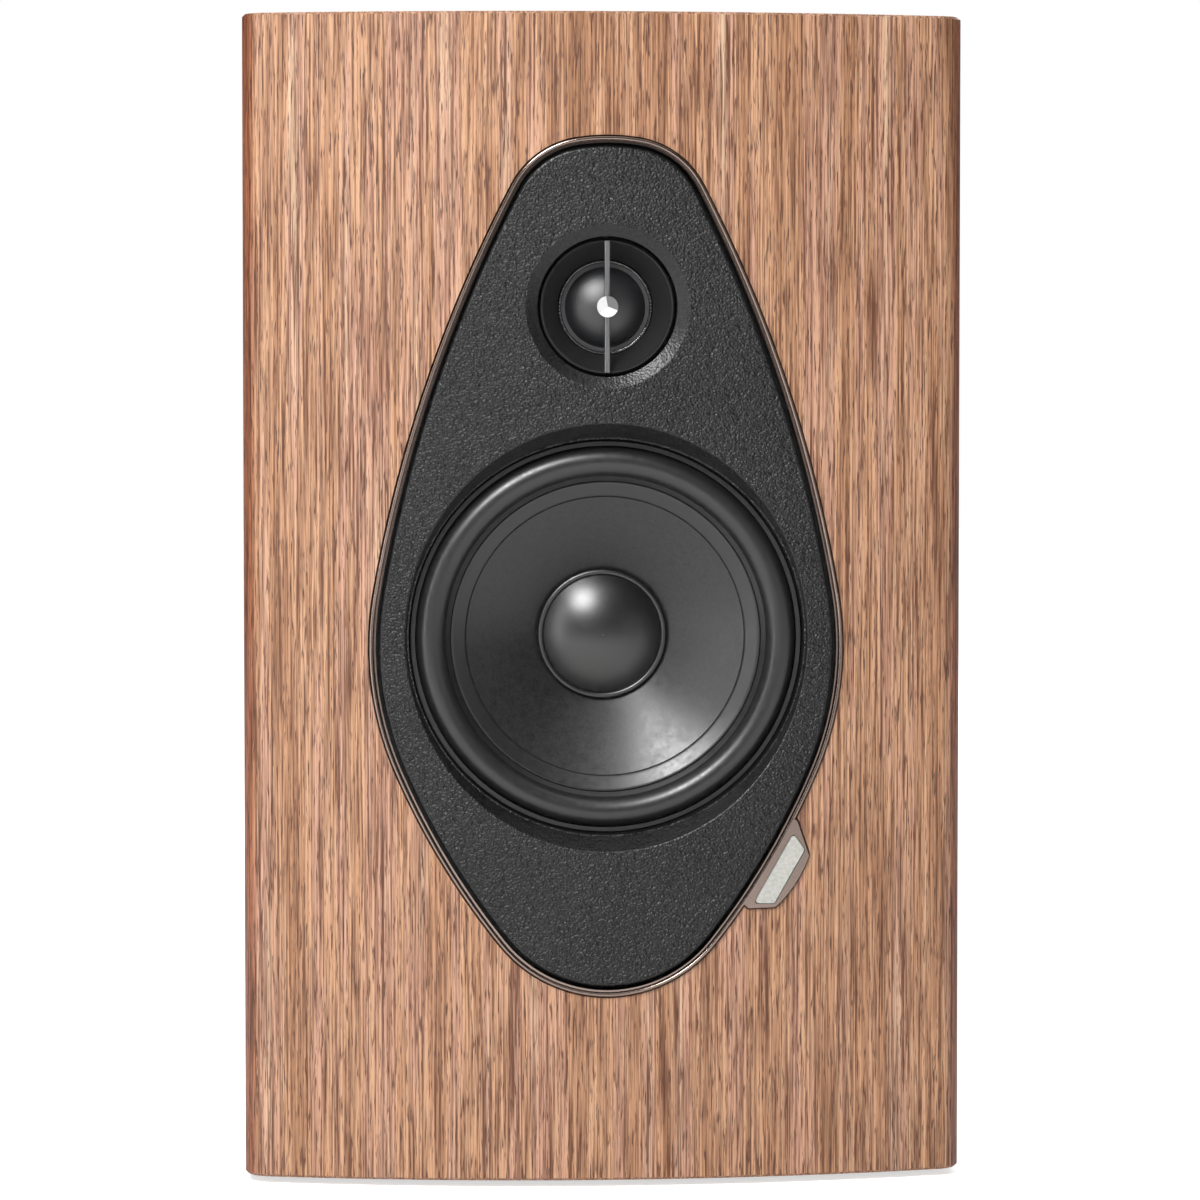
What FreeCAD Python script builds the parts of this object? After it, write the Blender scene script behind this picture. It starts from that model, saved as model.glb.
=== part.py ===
import FreeCAD, Part
import math
import os

# A powered two-way bookshelf speaker: a veneered cabinet with a bowed front, an almond-shaped
# leather-covered driver panel in a metal trim, a woofer, a dome tweeter, and a recessed rear
# connection bay.  Millimetres; +Z up, the front faces -Y, +X to the right seen from the front.
# "Depth" is the distance behind the foremost line of the wooden front.

V = FreeCAD.Vector
BACKWARD = V(0, 1, 0)

# ---- Cabinet ----
CABINET_WIDTH = 210.0
CABINET_DEPTH = 269.0
CABINET_HEIGHT = 338.0
FOOT_HEIGHT = 2.0
WALL = 15.0
FRONT_RADIUS = 375.0            # bow of the front, seen from above
SIDE_RADIUS = 1300.0            # gentle bow of the sides
WIDEST_DEPTH = 30.0             # depth at which the sides are widest
FRONT_CORNER = 9.0
REAR_CORNER = 5.0
EDGE_BEVEL = 0.8
REAR_RECESS = 12.0              # depth of the connection bay
REAR_BOARD = 12.0
BRACE_THICKNESS = 10.0
BRACE_RIM = 18.0
PAD_THICKNESS = 8.0
FOOT_RADIUS = 7.0
FOOT_INSET = 22.0
INSERT_RADIUS = 4.5
INSERT_BORE = 3.0
INSERT_LENGTH = 12.0
STAND_SPACING_X = 80.0
STAND_SPACING_Y = 100.0

# ---- Almond outline: (radius, turn in degrees) from the crown down; the toe closes it ----
CROWN_ARC = (58.8, 9.0)
SHOULDER_ARC = (25.8, 53.3)
FLANK_ARC = (398.0, 18.0)
HIP_ARC = (92.2, 32.9)
WAIST_ARC = (216.0, 15.6)
OUTLINE_RISE = 8.9              # how far the outline's middle sits above the cabinet's middle

# ---- Trim, leather panel and driver baffle ----
TRIM_PROUD = 1.0
TRIM_GAP = 0.45                 # between wood and bead
BEAD_WIDTH = 1.05
GROOVE_WIDTH = 0.4
INNER_LINE_WIDTH = 0.4
GROOVE_SUNK = 0.6
INNER_LINE_PROUD = 0.5
PANEL_GAP = 0.9                 # black gap between trim and leather
PANEL_PROUD = 0.5
PANEL_EDGE_ROUND = 1.2
BEVEL_EDGE_ROUND = 0.5
BEAD_EDGE_ROUND = 0.45
POCKET_DEPTH = 10.0             # depth of the flat seat behind the panel
BAFFLE_BACK = 30.0
BOSS_CLEARANCE = 0.2
TAB_THICKNESS = 4.0
TAB_CLEARANCE = 0.3
LENS_CLEARANCE = 0.15
LENS_SUNK = 0.25
LIGHT_BOARD_THICKNESS = 1.6
LIGHT_WIRE_RADIUS = 2.0

# ---- Woofer: radii, depths from the woofer's flange face ----
WOOFER_ABOVE_TOE = 104.4
FLANGE_THICKNESS = 3.0
SEAT_CLEARANCE = 0.3
BEVEL_RADIUS = 57.0             # round opening of the panel at the woofer's flange
FLANGE_WIDTH = 8.5              # part of the flange hidden under the panel
OPENING_SLOPE = 0.1             # radius gained per millimetre towards the front
BEVEL_START = 5.0               # behind the middle of the front, where the opening starts to flare
BEVEL_STEP = 0.4                # narrow ledge at the foot of the flare
BEVEL_SLOPE = 0.75              # radius gained per millimetre along the flare
ROLL_GAP = 1.8                  # black ring between the panel's opening and the roll
ROLL_WIDTH = 8.6
ROLL_THICKNESS = 0.8
CONE_THICKNESS = 0.8
CONE_DEPTH = 18.6
CAP_OVER_COIL = 1.3             # dust cap radius beyond the voice-coil former
CAP_HEIGHT = 6.2
CAP_RIM = 1.7
CAP_THICKNESS = 0.6
COIL_FORMER_RADIUS = 16.0
COIL_FORMER_WALL = 0.4
COIL_THICKNESS = 0.8
POLE_GAP = 0.6
PLATE_GAP = 0.8
BASKET_DEPTH = 35.0
TOP_PLATE = 6.0
TOP_PLATE_RADIUS = 40.0
MAGNET_RADIUS = 42.0
MAGNET_BORE = 24.0
MAGNET_THICKNESS = 15.0
YOKE_THICKNESS = 6.0
VENT_RADIUS = 5.0
SPIDER_LEDGE = 27.0
SPIDER_LEDGE_INNER = 34.0
SPIDER_THICKNESS = 0.8
WINDOW_COUNT = 6
SCREW_RADIUS = 2.0
SCREW_HEAD_RADIUS = 3.2
SCREW_LENGTH = 14.0

# ---- Tweeter: radii, depths from the pocket's flat seat ----
TWEETER_BELOW_CROWN = 49.4
FACEPLATE_RADIUS = 26.0
FACEPLATE_THICKNESS = 3.0
NECK_RADIUS = 19.6
NECK_LENGTH = 5.8
THROAT_RADIUS = 13.9
TWEETER_BEVEL_GAP = 0.7
TWEETER_BEVEL_WIDTH = 3.5
TWEETER_BEVEL_DEPTH = 2.0
DOME_RADIUS = 11.7
DOME_HEIGHT = 5.5
DOME_THICKNESS = 0.5
DOME_RIM = 12.8
SURROUND_OUTER = 16.0
BAR_LENGTH = 38.0
BAR_WIDTH = 1.65
BAR_WAIST = 1.35
BAR_THICKNESS = 1.6
BAR_EDGE_ROUND = 0.35
HUB_RADIUS = 2.4
APEX_RADIUS = 3.05
APEX_EDGE = 0.9
APEX_POINT = 0.9
APEX_SLANT = 1.35                # how far the facets fall back over three radii
TWEETER_PLATE_RADIUS = 20.0
TWEETER_PLATE = 3.0
TWEETER_MAGNET = 5.0
TWEETER_YOKE = 4.0
CHAMBER_RADIUS = 17.0
CHAMBER_LENGTH = 20.0
CHAMBER_WALL = 2.0

# ---- Rear electronics ----
PLATE_WIDTH = 100.0
PLATE_HEIGHT = 160.0
PLATE_THICKNESS = 3.0
PLATE_ABOVE_BASE = 28.0
PLATE_BORDER = 6.0
PLATE_CORNER = 4.0
BOARD_THICKNESS = 1.6
BOARD_GAP = 17.0                # rear plate to circuit boards
SUPPLY_GAP = 29.0               # main board to power supply board
BOARD_WIDTH = 88.0
MAIN_BOARD_HEIGHT = 70.0
AMPLIFIER_BOARD_HEIGHT = 70.0
BOARD_SPLIT = 6.0
STANDOFF_RADIUS = 2.5
STANDOFF_INSET = 4.0
SINK_WIDTH = 80.0
SINK_HEIGHT = 66.0
SINK_BASE = 2.5
SINK_FIN = 5.5
SINK_FIN_THICKNESS = 1.6
SINK_FIN_COUNT = 14
PORT_RADIUS = 20.0
PORT_WALL = 2.5
PORT_LENGTH = 120.0
PORT_FLANGE_RADIUS = 28.0
PORT_FLANGE = 3.0
PORT_FLARE = 5.0
BUTTON_RADIUS = 3.0
BUTTON_CLEARANCE = 0.2
BUTTON_PROUD = 1.6
BUTTON_TRAVEL = 1.0
ROCKER_TILT = 8.0               # degrees each side of level
ROCKER_WIDTH = 11.6
ROCKER_HEIGHT = 17.2
ROCKER_PIN = 1.2
PIN_CLEARANCE = 0.05
LEAD_RADIUS = 1.1
LEAD_BEND = 12.0
LEAD_SPACING = 8.0

# ---- Sizes and places worked out from the sizes above ----
FLANGE_RADIUS = BEVEL_RADIUS + FLANGE_WIDTH
SCREW_CIRCLE = FLANGE_RADIUS - SCREW_HEAD_RADIUS - 0.5
ROLL_OUTER = BEVEL_RADIUS - ROLL_GAP
ROLL_INNER = ROLL_OUTER - ROLL_WIDTH
FLANGE_INNER = ROLL_OUTER - 1.4
CAP_RADIUS = COIL_FORMER_RADIUS + CAP_OVER_COIL
TWEETER_SCREW_CIRCLE = FACEPLATE_RADIUS - 2.6
PLATE_SCREW_GRIP = 8.0
HUB_DOME_GAP = 0.9
def outline_arcs():
    """Centre, radius and headings of each arc of the almond's right half, below the crown."""
    arcs = []
    x, z, heading = 0.0, 0.0, 0.0
    for radius, turn in (CROWN_ARC, SHOULDER_ARC, FLANK_ARC, HIP_ARC, WAIST_ARC):
        centre = (x - radius * math.sin(heading), z - radius * math.cos(heading))
        end = heading + math.radians(turn)
        arcs.append((centre, radius, heading, end))
        x = centre[0] + radius * math.sin(end)
        z = centre[1] + radius * math.cos(end)
        heading = end
    radius = x / math.sin(heading)
    arcs.append(((0.0, z - radius * math.cos(heading)), radius, heading, math.pi))
    return arcs


OUTLINE = outline_arcs()
OUTLINE_HEIGHT = OUTLINE[-1][1] - OUTLINE[-1][0][1]

FRONT_Y = -(CABINET_DEPTH - TRIM_PROUD) / 2
REAR_Y = FRONT_Y + CABINET_DEPTH
BASE_Z = FOOT_HEIGHT
TOP_Z = BASE_Z + CABINET_HEIGHT
CROWN_Z = BASE_Z + CABINET_HEIGHT / 2 + OUTLINE_RISE + OUTLINE_HEIGHT / 2
WOOFER_Z = CROWN_Z - OUTLINE_HEIGHT + WOOFER_ABOVE_TOE
TWEETER_Z = CROWN_Z - TWEETER_BELOW_CROWN
WOOFER_HOLE = FLANGE_RADIUS - 5.5
TWEETER_HOLE = TWEETER_PLATE_RADIUS + 1.0
BRACE_Z = (WOOFER_Z + WOOFER_HOLE + TWEETER_Z - TWEETER_HOLE - BRACE_THICKNESS) / 2
PORT_Z = (BRACE_Z + BRACE_THICKNESS + TOP_Z - WALL) / 2
BAY_Y = REAR_Y - REAR_RECESS
BAFFLE_FRONT_Y = BAY_Y - REAR_BOARD
BAY_DEPTH = BAY_Y - FRONT_Y
PLATE_Y = BAY_Y + PLATE_THICKNESS
PLATE_Z = BASE_Z + PLATE_ABOVE_BASE
BOARD_Y = BAY_Y - BOARD_GAP
BOARD_Z = PLATE_Z + PLATE_BORDER
AMPLIFIER_Z = BOARD_Z + MAIN_BOARD_HEIGHT + BOARD_SPLIT
SUPPLY_Y = BOARD_Y - BOARD_THICKNESS - SUPPLY_GAP

# Centres of what stands on the rear plate: x, and height above the main board's lower edge.
INLET_AT = (-28.0, BOARD_Z + 18.0)
SWITCH_AT = (-28.0, BOARD_Z + 52.0)
VIDEO_AT = (4.0, BOARD_Z + 56.0)
NETWORK_AT = (27.0, BOARD_Z + 56.0)
OPTICAL_AT = (4.0, BOARD_Z + 36.0)
PHONO_SOCKETS = [(8.0, BOARD_Z + 14.0), (22.0, BOARD_Z + 14.0), (36.0, BOARD_Z + 14.0)]
PAIR_AT = (23.0, BOARD_Z + 36.0)
SETUP_AT = (36.0, BOARD_Z + 36.0)

# Corners of the light tab and of its lens on the front, as x and height above the toe.
TOE_Z = CROWN_Z - OUTLINE_HEIGHT
TAB_TOP = (55.4, TOE_Z + 51.6)
TAB_TIP = (59.1, TOE_Z + 40.9)
TAB_BELLY = (55.7, TOE_Z + 33.8)
TAB_HEEL = (49.0, TOE_Z + 25.7)
TAB_ROOT = (41.0, TOE_Z + 25.5)
TAB_INSIDE_LOW = (34.0, TOE_Z + 30.8)
TAB_INSIDE_HIGH = (48.0, TOE_Z + 52.8)
LENS_TOP = (54.2, TOE_Z + 47.3)
LENS_TIP = (57.6, TOE_Z + 42.3)
LENS_HEEL = (48.6, TOE_Z + 26.9)
LENS_ROOT = (42.5, TOE_Z + 27.1)


# ---- Helpers ----

def block(x0, x1, y0, y1, z0, z1):
    """A box between two opposite corners."""
    return Part.makeBox(x1 - x0, y1 - y0, z1 - z0, V(x0, y0, z0))


def rod(at, radius, y0, y1):
    """A round bar along Y at (x, z)."""
    return Part.makeCylinder(radius, y1 - y0, V(at[0], y0, at[1]), BACKWARD)


def tube(at, outer, inner, y0, y1):
    """A round tube along Y at (x, z)."""
    return rod(at, outer, y0, y1).cut(rod(at, inner, y0, y1))


def around(at, half_x, half_z, y0, y1):
    """A box along Y centred on (x, z)."""
    return block(at[0] - half_x, at[0] + half_x, y0, y1, at[1] - half_z, at[1] + half_z)


def turned(z, start, *steps):
    """Turn a closed profile of (radius, depth) points round an axis along Y at height z.
    A step that is a pair of points is an arc's middle and end."""
    def spot(point):
        return V(point[0], FRONT_Y + point[1], z)

    edges = []
    here = start
    for step in list(steps) + [start]:
        if isinstance(step[0], tuple):
            edges.append(Part.Arc(spot(here), spot(step[0]), spot(step[1])).toShape())
            here = step[1]
        else:
            edges.append(Part.makeLine(spot(here), spot(step)))
            here = step
    return Part.Face(Part.Wire(edges)).revolve(V(0, 0, z), BACKWARD, 360)


def cap_middle(radius, height):
    """Half-way point, as (radius, depth below the top), of a ball-shaped cap's arc."""
    ball = (radius ** 2 + height ** 2) / (2 * height)
    half = math.asin(radius / ball) / 2
    return ball * math.sin(half), ball * (1 - math.cos(half))


def ring(z, outer, inner, depth0, depth1):
    """A flat ring on a driver's axis between two depths."""
    return tube((0, z), outer, inner, FRONT_Y + depth0, FRONT_Y + depth1)


def fuse_all(shapes):
    """Join a list of solids into one."""
    return shapes[0].multiFuse(shapes[1:]).removeSplitter()


def prism(points, y0, y1):
    """A flat outline of (x, z) points, pushed along Y. A pair of points is an arc."""
    edges = []
    here = points[0]
    for step in points[1:] + [points[0]]:
        if isinstance(step[0], tuple):
            middle, end = step
            edges.append(Part.Arc(V(here[0], y0, here[1]), V(middle[0], y0, middle[1]),
                                  V(end[0], y0, end[1])).toShape())
            here = end
        else:
            edges.append(Part.makeLine(V(here[0], y0, here[1]), V(step[0], y0, step[1])))
            here = step
    return Part.Wire(edges), V(0, y1 - y0, 0)


def grown_prism(points, growth, y0, y1):
    """As prism, with the outline grown outwards by an amount."""
    wire, push = prism(points, y0, y1)
    if growth:
        wire = wire.makeOffset2D(growth, 2)
    return Part.Face(wire).extrude(push)


def rounded(shape, radius, direction, test=None):
    """Round the edges that run along a direction, where test(middle point) holds."""
    edges = []
    for edge in shape.Edges:
        if len(edge.Vertexes) != 2 or edge.Curve.TypeId != "Part::GeomLine":
            continue
        along = (edge.Vertexes[1].Point - edge.Vertexes[0].Point).normalize()
        if abs(abs(along.dot(direction)) - 1) < 1e-6 and (test is None or test(edge.CenterOfMass)):
            edges.append(edge)
    return shape.makeFillet(radius, edges)


def front_cylinder(proud):
    """The bowed front's surface as a solid, moved forward by proud."""
    return Part.makeCylinder(FRONT_RADIUS + proud, TOP_Z + 40, V(0, FRONT_Y + FRONT_RADIUS, -20))


def plan_solid(inset, z0, z1, rear_y=REAR_Y):
    """The cabinet's plan, inset from its outside, between two heights."""
    side_x = CABINET_WIDTH / 2 - SIDE_RADIUS
    widest_y = FRONT_Y + WIDEST_DEPTH
    height = z1 - z0
    shape = Part.makeCylinder(FRONT_RADIUS - inset, height, V(0, FRONT_Y + FRONT_RADIUS, z0))
    for side in (1, -1):
        bow = Part.makeCylinder(SIDE_RADIUS - inset, height, V(side * side_x, widest_y, z0))
        shape = shape.common(bow)
    return shape.common(block(-CABINET_WIDTH, CABINET_WIDTH, FRONT_Y - 5, rear_y, z0, z1))


def almond(inset, y0, y1):
    """The almond outline, inset, pushed from y0 to y1."""
    edges = []
    for side in (1, -1):
        for centre, radius, start, end in OUTLINE:
            stops = []
            for heading in (start, (start + end) / 2, end):
                x = side * (centre[0] + (radius - inset) * math.sin(heading))
                stops.append(V(x, y0, CROWN_Z + centre[1] + (radius - inset) * math.cos(heading)))
            edges.append(Part.Arc(*stops).toShape())
    wire = Part.Wire(Part.__sortEdges__(edges))
    return Part.Face(wire).extrude(V(0, y1 - y0, 0))


def tab_prism(growth, y0, y1):
    """The light tab's outline, pushed along Y; its inner side lies under the bead."""
    points = [TAB_TOP, TAB_TIP, (TAB_BELLY, TAB_HEEL), TAB_ROOT, TAB_INSIDE_LOW, TAB_INSIDE_HIGH]
    solid = grown_prism(points, growth, y0, y1)
    return rounded(solid, 2.0, BACKWARD, lambda middle: middle.x > TAB_HEEL[0] - 1)


def lens_prism(growth, y0, y1):
    """The status light's outline, pushed along Y."""
    solid = grown_prism([LENS_TOP, LENS_TIP, LENS_HEEL, LENS_ROOT], growth, y0, y1)
    return rounded(solid, 0.9, BACKWARD)


def board(x0, x1, y0, z0, z1):
    """A circuit board facing the rear."""
    return block(x0, x1, y0, y0 + BOARD_THICKNESS, z0, z1)


# ---- Cabinet pieces ----

def cabinet_shell():
    """Bowed front and both sides in one curved wrap, with the almond opening."""
    outer = plan_solid(0, BASE_Z, TOP_Z)
    outer = rounded(outer, FRONT_CORNER, V(0, 0, 1), lambda middle: middle.y < 0)
    outer = rounded(outer, REAR_CORNER, V(0, 0, 1), lambda middle: middle.y > REAR_Y - 2)
    rims = [e for e in outer.Edges if abs(abs(e.CenterOfMass.z - (BASE_Z + TOP_Z) / 2)
                                          - CABINET_HEIGHT / 2) < 1e-6]
    outer = outer.makeChamfer(EDGE_BEVEL, rims)
    inner = plan_solid(WALL, BASE_Z - 1, TOP_Z + 1, REAR_Y + 5)
    shell = outer.cut(inner)
    shell = shell.cut(almond(0, FRONT_Y - 5, FRONT_Y + BAFFLE_BACK))
    reach = FRONT_Y + BAFFLE_BACK
    pocket = tab_prism(TAB_CLEARANCE, FRONT_Y - 5, reach).cut(front_cylinder(-TAB_THICKNESS))
    shell = shell.cut(pocket)
    under = lens_prism(TAB_CLEARANCE, FRONT_Y - 5, reach)
    shell = shell.cut(under.cut(front_cylinder(-TAB_THICKNESS - LIGHT_BOARD_THICKNESS)))
    middle_x = (LENS_TIP[0] + LENS_ROOT[0]) / 2
    middle_z = (LENS_TOP[1] + LENS_HEEL[1]) / 2
    return shell.cut(rod((middle_x, middle_z), LIGHT_WIRE_RADIUS, FRONT_Y, reach + 5))


def top_panel():
    return plan_solid(WALL, TOP_Z - WALL, TOP_Z)


def stand_places():
    return [(x * STAND_SPACING_X / 2, y * STAND_SPACING_Y / 2) for x in (-1, 1) for y in (-1, 1)]


def bottom_panel():
    panel = plan_solid(WALL, BASE_Z, BASE_Z + WALL)
    for x, y in stand_places():
        panel = panel.cut(Part.makeCylinder(INSERT_RADIUS, INSERT_LENGTH, V(x, y, BASE_Z)))
    return panel


def stand_inserts():
    """Threaded brass inserts for a stand, flush with the base."""
    pieces = []
    for x, y in stand_places():
        sleeve = Part.makeCylinder(INSERT_RADIUS, INSERT_LENGTH, V(x, y, BASE_Z))
        pieces.append(sleeve.cut(Part.makeCylinder(INSERT_BORE, INSERT_LENGTH, V(x, y, BASE_Z))))
    return Part.makeCompound(pieces)


def rubber_feet():
    """Four stuck-on pads: two behind the front corners, two before the narrower rear ones."""
    rear_half = CABINET_WIDTH / 2 - (CABINET_DEPTH - WIDEST_DEPTH) ** 2 / (2 * SIDE_RADIUS)
    pads = []
    for side in (-1, 1):
        front_x = CABINET_WIDTH / 2 - FOOT_INSET
        for x, y in ((front_x, FRONT_Y + 1.6 * FOOT_INSET), (rear_half - FOOT_INSET, REAR_Y - FOOT_INSET)):
            pads.append(Part.makeCylinder(FOOT_RADIUS, FOOT_HEIGHT, V(side * x, y, 0)))
    return Part.makeCompound(pads)


def rear_baffle():
    """Rear board at the bottom of the connection bay, with plate and port openings."""
    slab = plan_solid(WALL, BASE_Z + WALL, TOP_Z - WALL, BAY_Y)
    slab = slab.cut(block(-CABINET_WIDTH, CABINET_WIDTH, FRONT_Y - 5, BAFFLE_FRONT_Y, 0, TOP_Z))
    half = PLATE_WIDTH / 2 - PLATE_BORDER
    slab = slab.cut(block(-half, half, BAFFLE_FRONT_Y, BAY_Y, PLATE_Z + PLATE_BORDER,
                          PLATE_Z + PLATE_HEIGHT - PLATE_BORDER))
    slab = slab.cut(rod((0, PORT_Z), PORT_RADIUS + PORT_WALL, BAFFLE_FRONT_Y, BAY_Y))
    for at in plate_screw_places():
        slab = slab.cut(rod(at, SCREW_RADIUS, BAY_Y - PLATE_SCREW_GRIP, BAY_Y))
    return slab


def inner_brace():
    """Window brace between the woofer and the tweeter."""
    z0, z1 = BRACE_Z, BRACE_Z + BRACE_THICKNESS
    front, rear = FRONT_Y + BAFFLE_BACK, BAFFLE_FRONT_Y
    slab = plan_solid(WALL, z0, z1, rear)
    slab = slab.cut(block(-CABINET_WIDTH, CABINET_WIDTH, FRONT_Y - 5, front, z0, z1))
    window = plan_solid(WALL + BRACE_RIM, z0, z1, rear - BRACE_RIM)
    window = window.cut(block(-CABINET_WIDTH, CABINET_WIDTH, FRONT_Y - 5, front + BRACE_RIM, z0, z1))
    return slab.cut(window)


def damping_pads():
    """Felt pads on the inner faces of both sides."""
    z0, z1 = BASE_Z + WALL + 20, BRACE_Z - 12
    felt = plan_solid(WALL, z0, z1).cut(plan_solid(WALL + PAD_THICKNESS, z0, z1))
    pads = []
    for side in (-1, 1):
        x0, x1 = sorted((side * 30, side * CABINET_WIDTH))
        pads.append(felt.common(block(x0, x1, FRONT_Y + 90, REAR_Y - 75, z0, z1)))
    return Part.makeCompound(pads)


def driver_baffle():
    """Rigid board behind the bowed front; its almond boss fills the opening up to the seat."""
    y_seat, y_back = FRONT_Y + POCKET_DEPTH, FRONT_Y + BAFFLE_BACK
    plate = plan_solid(WALL, BASE_Z + WALL, TOP_Z - WALL, y_back)
    between = block(-CABINET_WIDTH, CABINET_WIDTH, y_seat, y_back, BASE_Z + WALL, TOP_Z - WALL)
    boss = almond(BOSS_CLEARANCE, y_seat, y_back).common(between)
    body = plate.fuse(boss).removeSplitter()
    flange_back = y_seat + FLANGE_THICKNESS
    for z, seat, hole in ((WOOFER_Z, FLANGE_RADIUS, WOOFER_HOLE),
                          (TWEETER_Z, FACEPLATE_RADIUS, TWEETER_HOLE)):
        body = body.cut(rod((0, z), seat + SEAT_CLEARANCE, y_seat - 1, flange_back))
        body = body.cut(rod((0, z), hole, y_seat, y_back + 1))
    for at in driver_screw_places():
        body = body.cut(rod(at, SCREW_RADIUS, flange_back, y_seat + SCREW_LENGTH))
    middle_x = (LENS_TIP[0] + LENS_ROOT[0]) / 2
    middle_z = (LENS_TOP[1] + LENS_HEEL[1]) / 2
    return body.cut(rod((middle_x, middle_z), LIGHT_WIRE_RADIUS, FRONT_Y, y_back + 1))


def on_circle(z, radius, count, first_deg):
    """Evenly spaced (x, z) places on a driver's circle."""
    places = []
    for i in range(count):
        angle = math.radians(first_deg + 360 * i / count)
        places.append((radius * math.cos(angle), z + radius * math.sin(angle)))
    return places


def driver_screw_places():
    woofer = on_circle(WOOFER_Z, SCREW_CIRCLE, 4, 45)
    return woofer + on_circle(TWEETER_Z, TWEETER_SCREW_CIRCLE, 3, 90)


def screw_hole(at, y_head):
    """Clearance for one flush screw whose head is at y_head."""
    cone = Part.makeCone(SCREW_HEAD_RADIUS, SCREW_RADIUS, SCREW_HEAD_RADIUS - SCREW_RADIUS,
                         V(at[0], y_head, at[1]), BACKWARD)
    return cone.fuse(rod(at, SCREW_RADIUS, y_head, y_head + SCREW_LENGTH))


def driver_screws():
    """Countersunk screws that hold both drivers to the baffle."""
    y_head = FRONT_Y + POCKET_DEPTH
    return Part.makeCompound([screw_hole(at, y_head) for at in driver_screw_places()])


# ---- Leather panel, trim and status light ----

def front_edges(shape, behind_y):
    """Curved edges of a piece that lie wholly in front of a plane."""
    return [edge for edge in shape.Edges
            if edge.BoundBox.YMax < behind_y - 0.5 and edge.Curve.TypeId != "Part::GeomLine"]


def flare(z, mouth, slope, y_mouth):
    """A cone that opens towards the front from a round mouth."""
    reach = 15.0
    return Part.makeCone(mouth + slope * reach, mouth, reach, V(0, y_mouth - reach, z), BACKWARD)


def rim_edges(panel, middle_z, reach):
    """Edges on the panel's front that lie within reach of an opening's middle."""
    return [edge for edge in panel.Edges if on_front(edge, PANEL_PROUD)
            and all(math.hypot(p.x, p.z - middle_z) < reach for p in edge.discretize(5))]


def leather_panel():
    """Leather-covered panel with bevelled round openings for both drivers."""
    inset = TRIM_GAP + BEAD_WIDTH + GROOVE_WIDTH + INNER_LINE_WIDTH + PANEL_GAP
    y_seat = FRONT_Y + POCKET_DEPTH
    panel = almond(inset, FRONT_Y - 5, y_seat).common(front_cylinder(PANEL_PROUD))
    panel = panel.makeFillet(PANEL_EDGE_ROUND, front_edges(panel, y_seat))
    panel = panel.cut(flare(WOOFER_Z, BEVEL_RADIUS, OPENING_SLOPE, y_seat))
    panel = panel.cut(rod((0, TWEETER_Z), NECK_RADIUS + TWEETER_BEVEL_GAP, FRONT_Y - 5, y_seat))
    foot = BEVEL_RADIUS + OPENING_SLOPE * (POCKET_DEPTH - BEVEL_START) + BEVEL_STEP
    panel = panel.cut(flare(WOOFER_Z, foot, BEVEL_SLOPE, FRONT_Y + BEVEL_START))
    rim = rim_edges(panel, WOOFER_Z, foot + BEVEL_SLOPE * BEVEL_START + 2)
    panel = panel.makeFillet(BEVEL_EDGE_ROUND, rim)
    mouth = NECK_RADIUS + TWEETER_BEVEL_GAP
    rim = rim_edges(panel, TWEETER_Z, mouth + 2)
    panel = panel.makeChamfer(TWEETER_BEVEL_WIDTH, TWEETER_BEVEL_DEPTH, rim)
    rim = rim_edges(panel, TWEETER_Z, mouth + TWEETER_BEVEL_WIDTH + 2)
    return panel.makeFillet(BEVEL_EDGE_ROUND, rim)


def trim_frame():
    """Metal trim: outer bead with the light tab, dark groove and fine inner line."""
    y0, y_seat = FRONT_Y - 5, FRONT_Y + POCKET_DEPTH
    bead_in = TRIM_GAP + BEAD_WIDTH
    groove_in = bead_in + GROOVE_WIDTH
    line_in = groove_in + INNER_LINE_WIDTH
    bead = almond(TRIM_GAP, y0, y_seat).cut(almond(bead_in, y0, y_seat))
    groove = almond(bead_in, y0, y_seat).cut(almond(groove_in, y0, y_seat))
    line = almond(groove_in, y0, y_seat).cut(almond(line_in, y0, y_seat))
    tab = tab_prism(0, y0, y_seat).cut(almond(TRIM_GAP, y0, y_seat)).cut(front_cylinder(-TAB_THICKNESS))
    face = bead.fuse(tab).removeSplitter().common(front_cylinder(TRIM_PROUD))
    edges = [edge for edge in front_edges(face, FRONT_Y + POCKET_DEPTH - 2)
             if on_front(edge, TRIM_PROUD)]
    face = face.makeFillet(BEAD_EDGE_ROUND, edges)
    face = face.cut(lens_prism(LENS_CLEARANCE, y0, y_seat))
    return fuse_all([face, groove.common(front_cylinder(-GROOVE_SUNK)),
                     line.common(front_cylinder(INNER_LINE_PROUD))])


def on_front(edge, proud):
    """Whether an edge lies on the bowed front moved forward by proud."""
    axis_y = FRONT_Y + FRONT_RADIUS
    points = edge.discretize(3)
    return all(abs(math.hypot(p.x, p.y - axis_y) - FRONT_RADIUS - proud) < 0.01 for p in points)


def status_light_lens():
    """Milky lens in the tab."""
    lens = lens_prism(0, FRONT_Y - 5, FRONT_Y + BAFFLE_BACK)
    return lens.common(front_cylinder(TRIM_PROUD - LENS_SUNK)).cut(front_cylinder(-TAB_THICKNESS))


def status_light_board():
    """Small board with the lamps, behind the lens."""
    wafer = lens_prism(0, FRONT_Y - 5, FRONT_Y + BAFFLE_BACK).common(front_cylinder(-TAB_THICKNESS))
    return wafer.cut(front_cylinder(-TAB_THICKNESS - LIGHT_BOARD_THICKNESS))


# ---- Woofer ----

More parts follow.
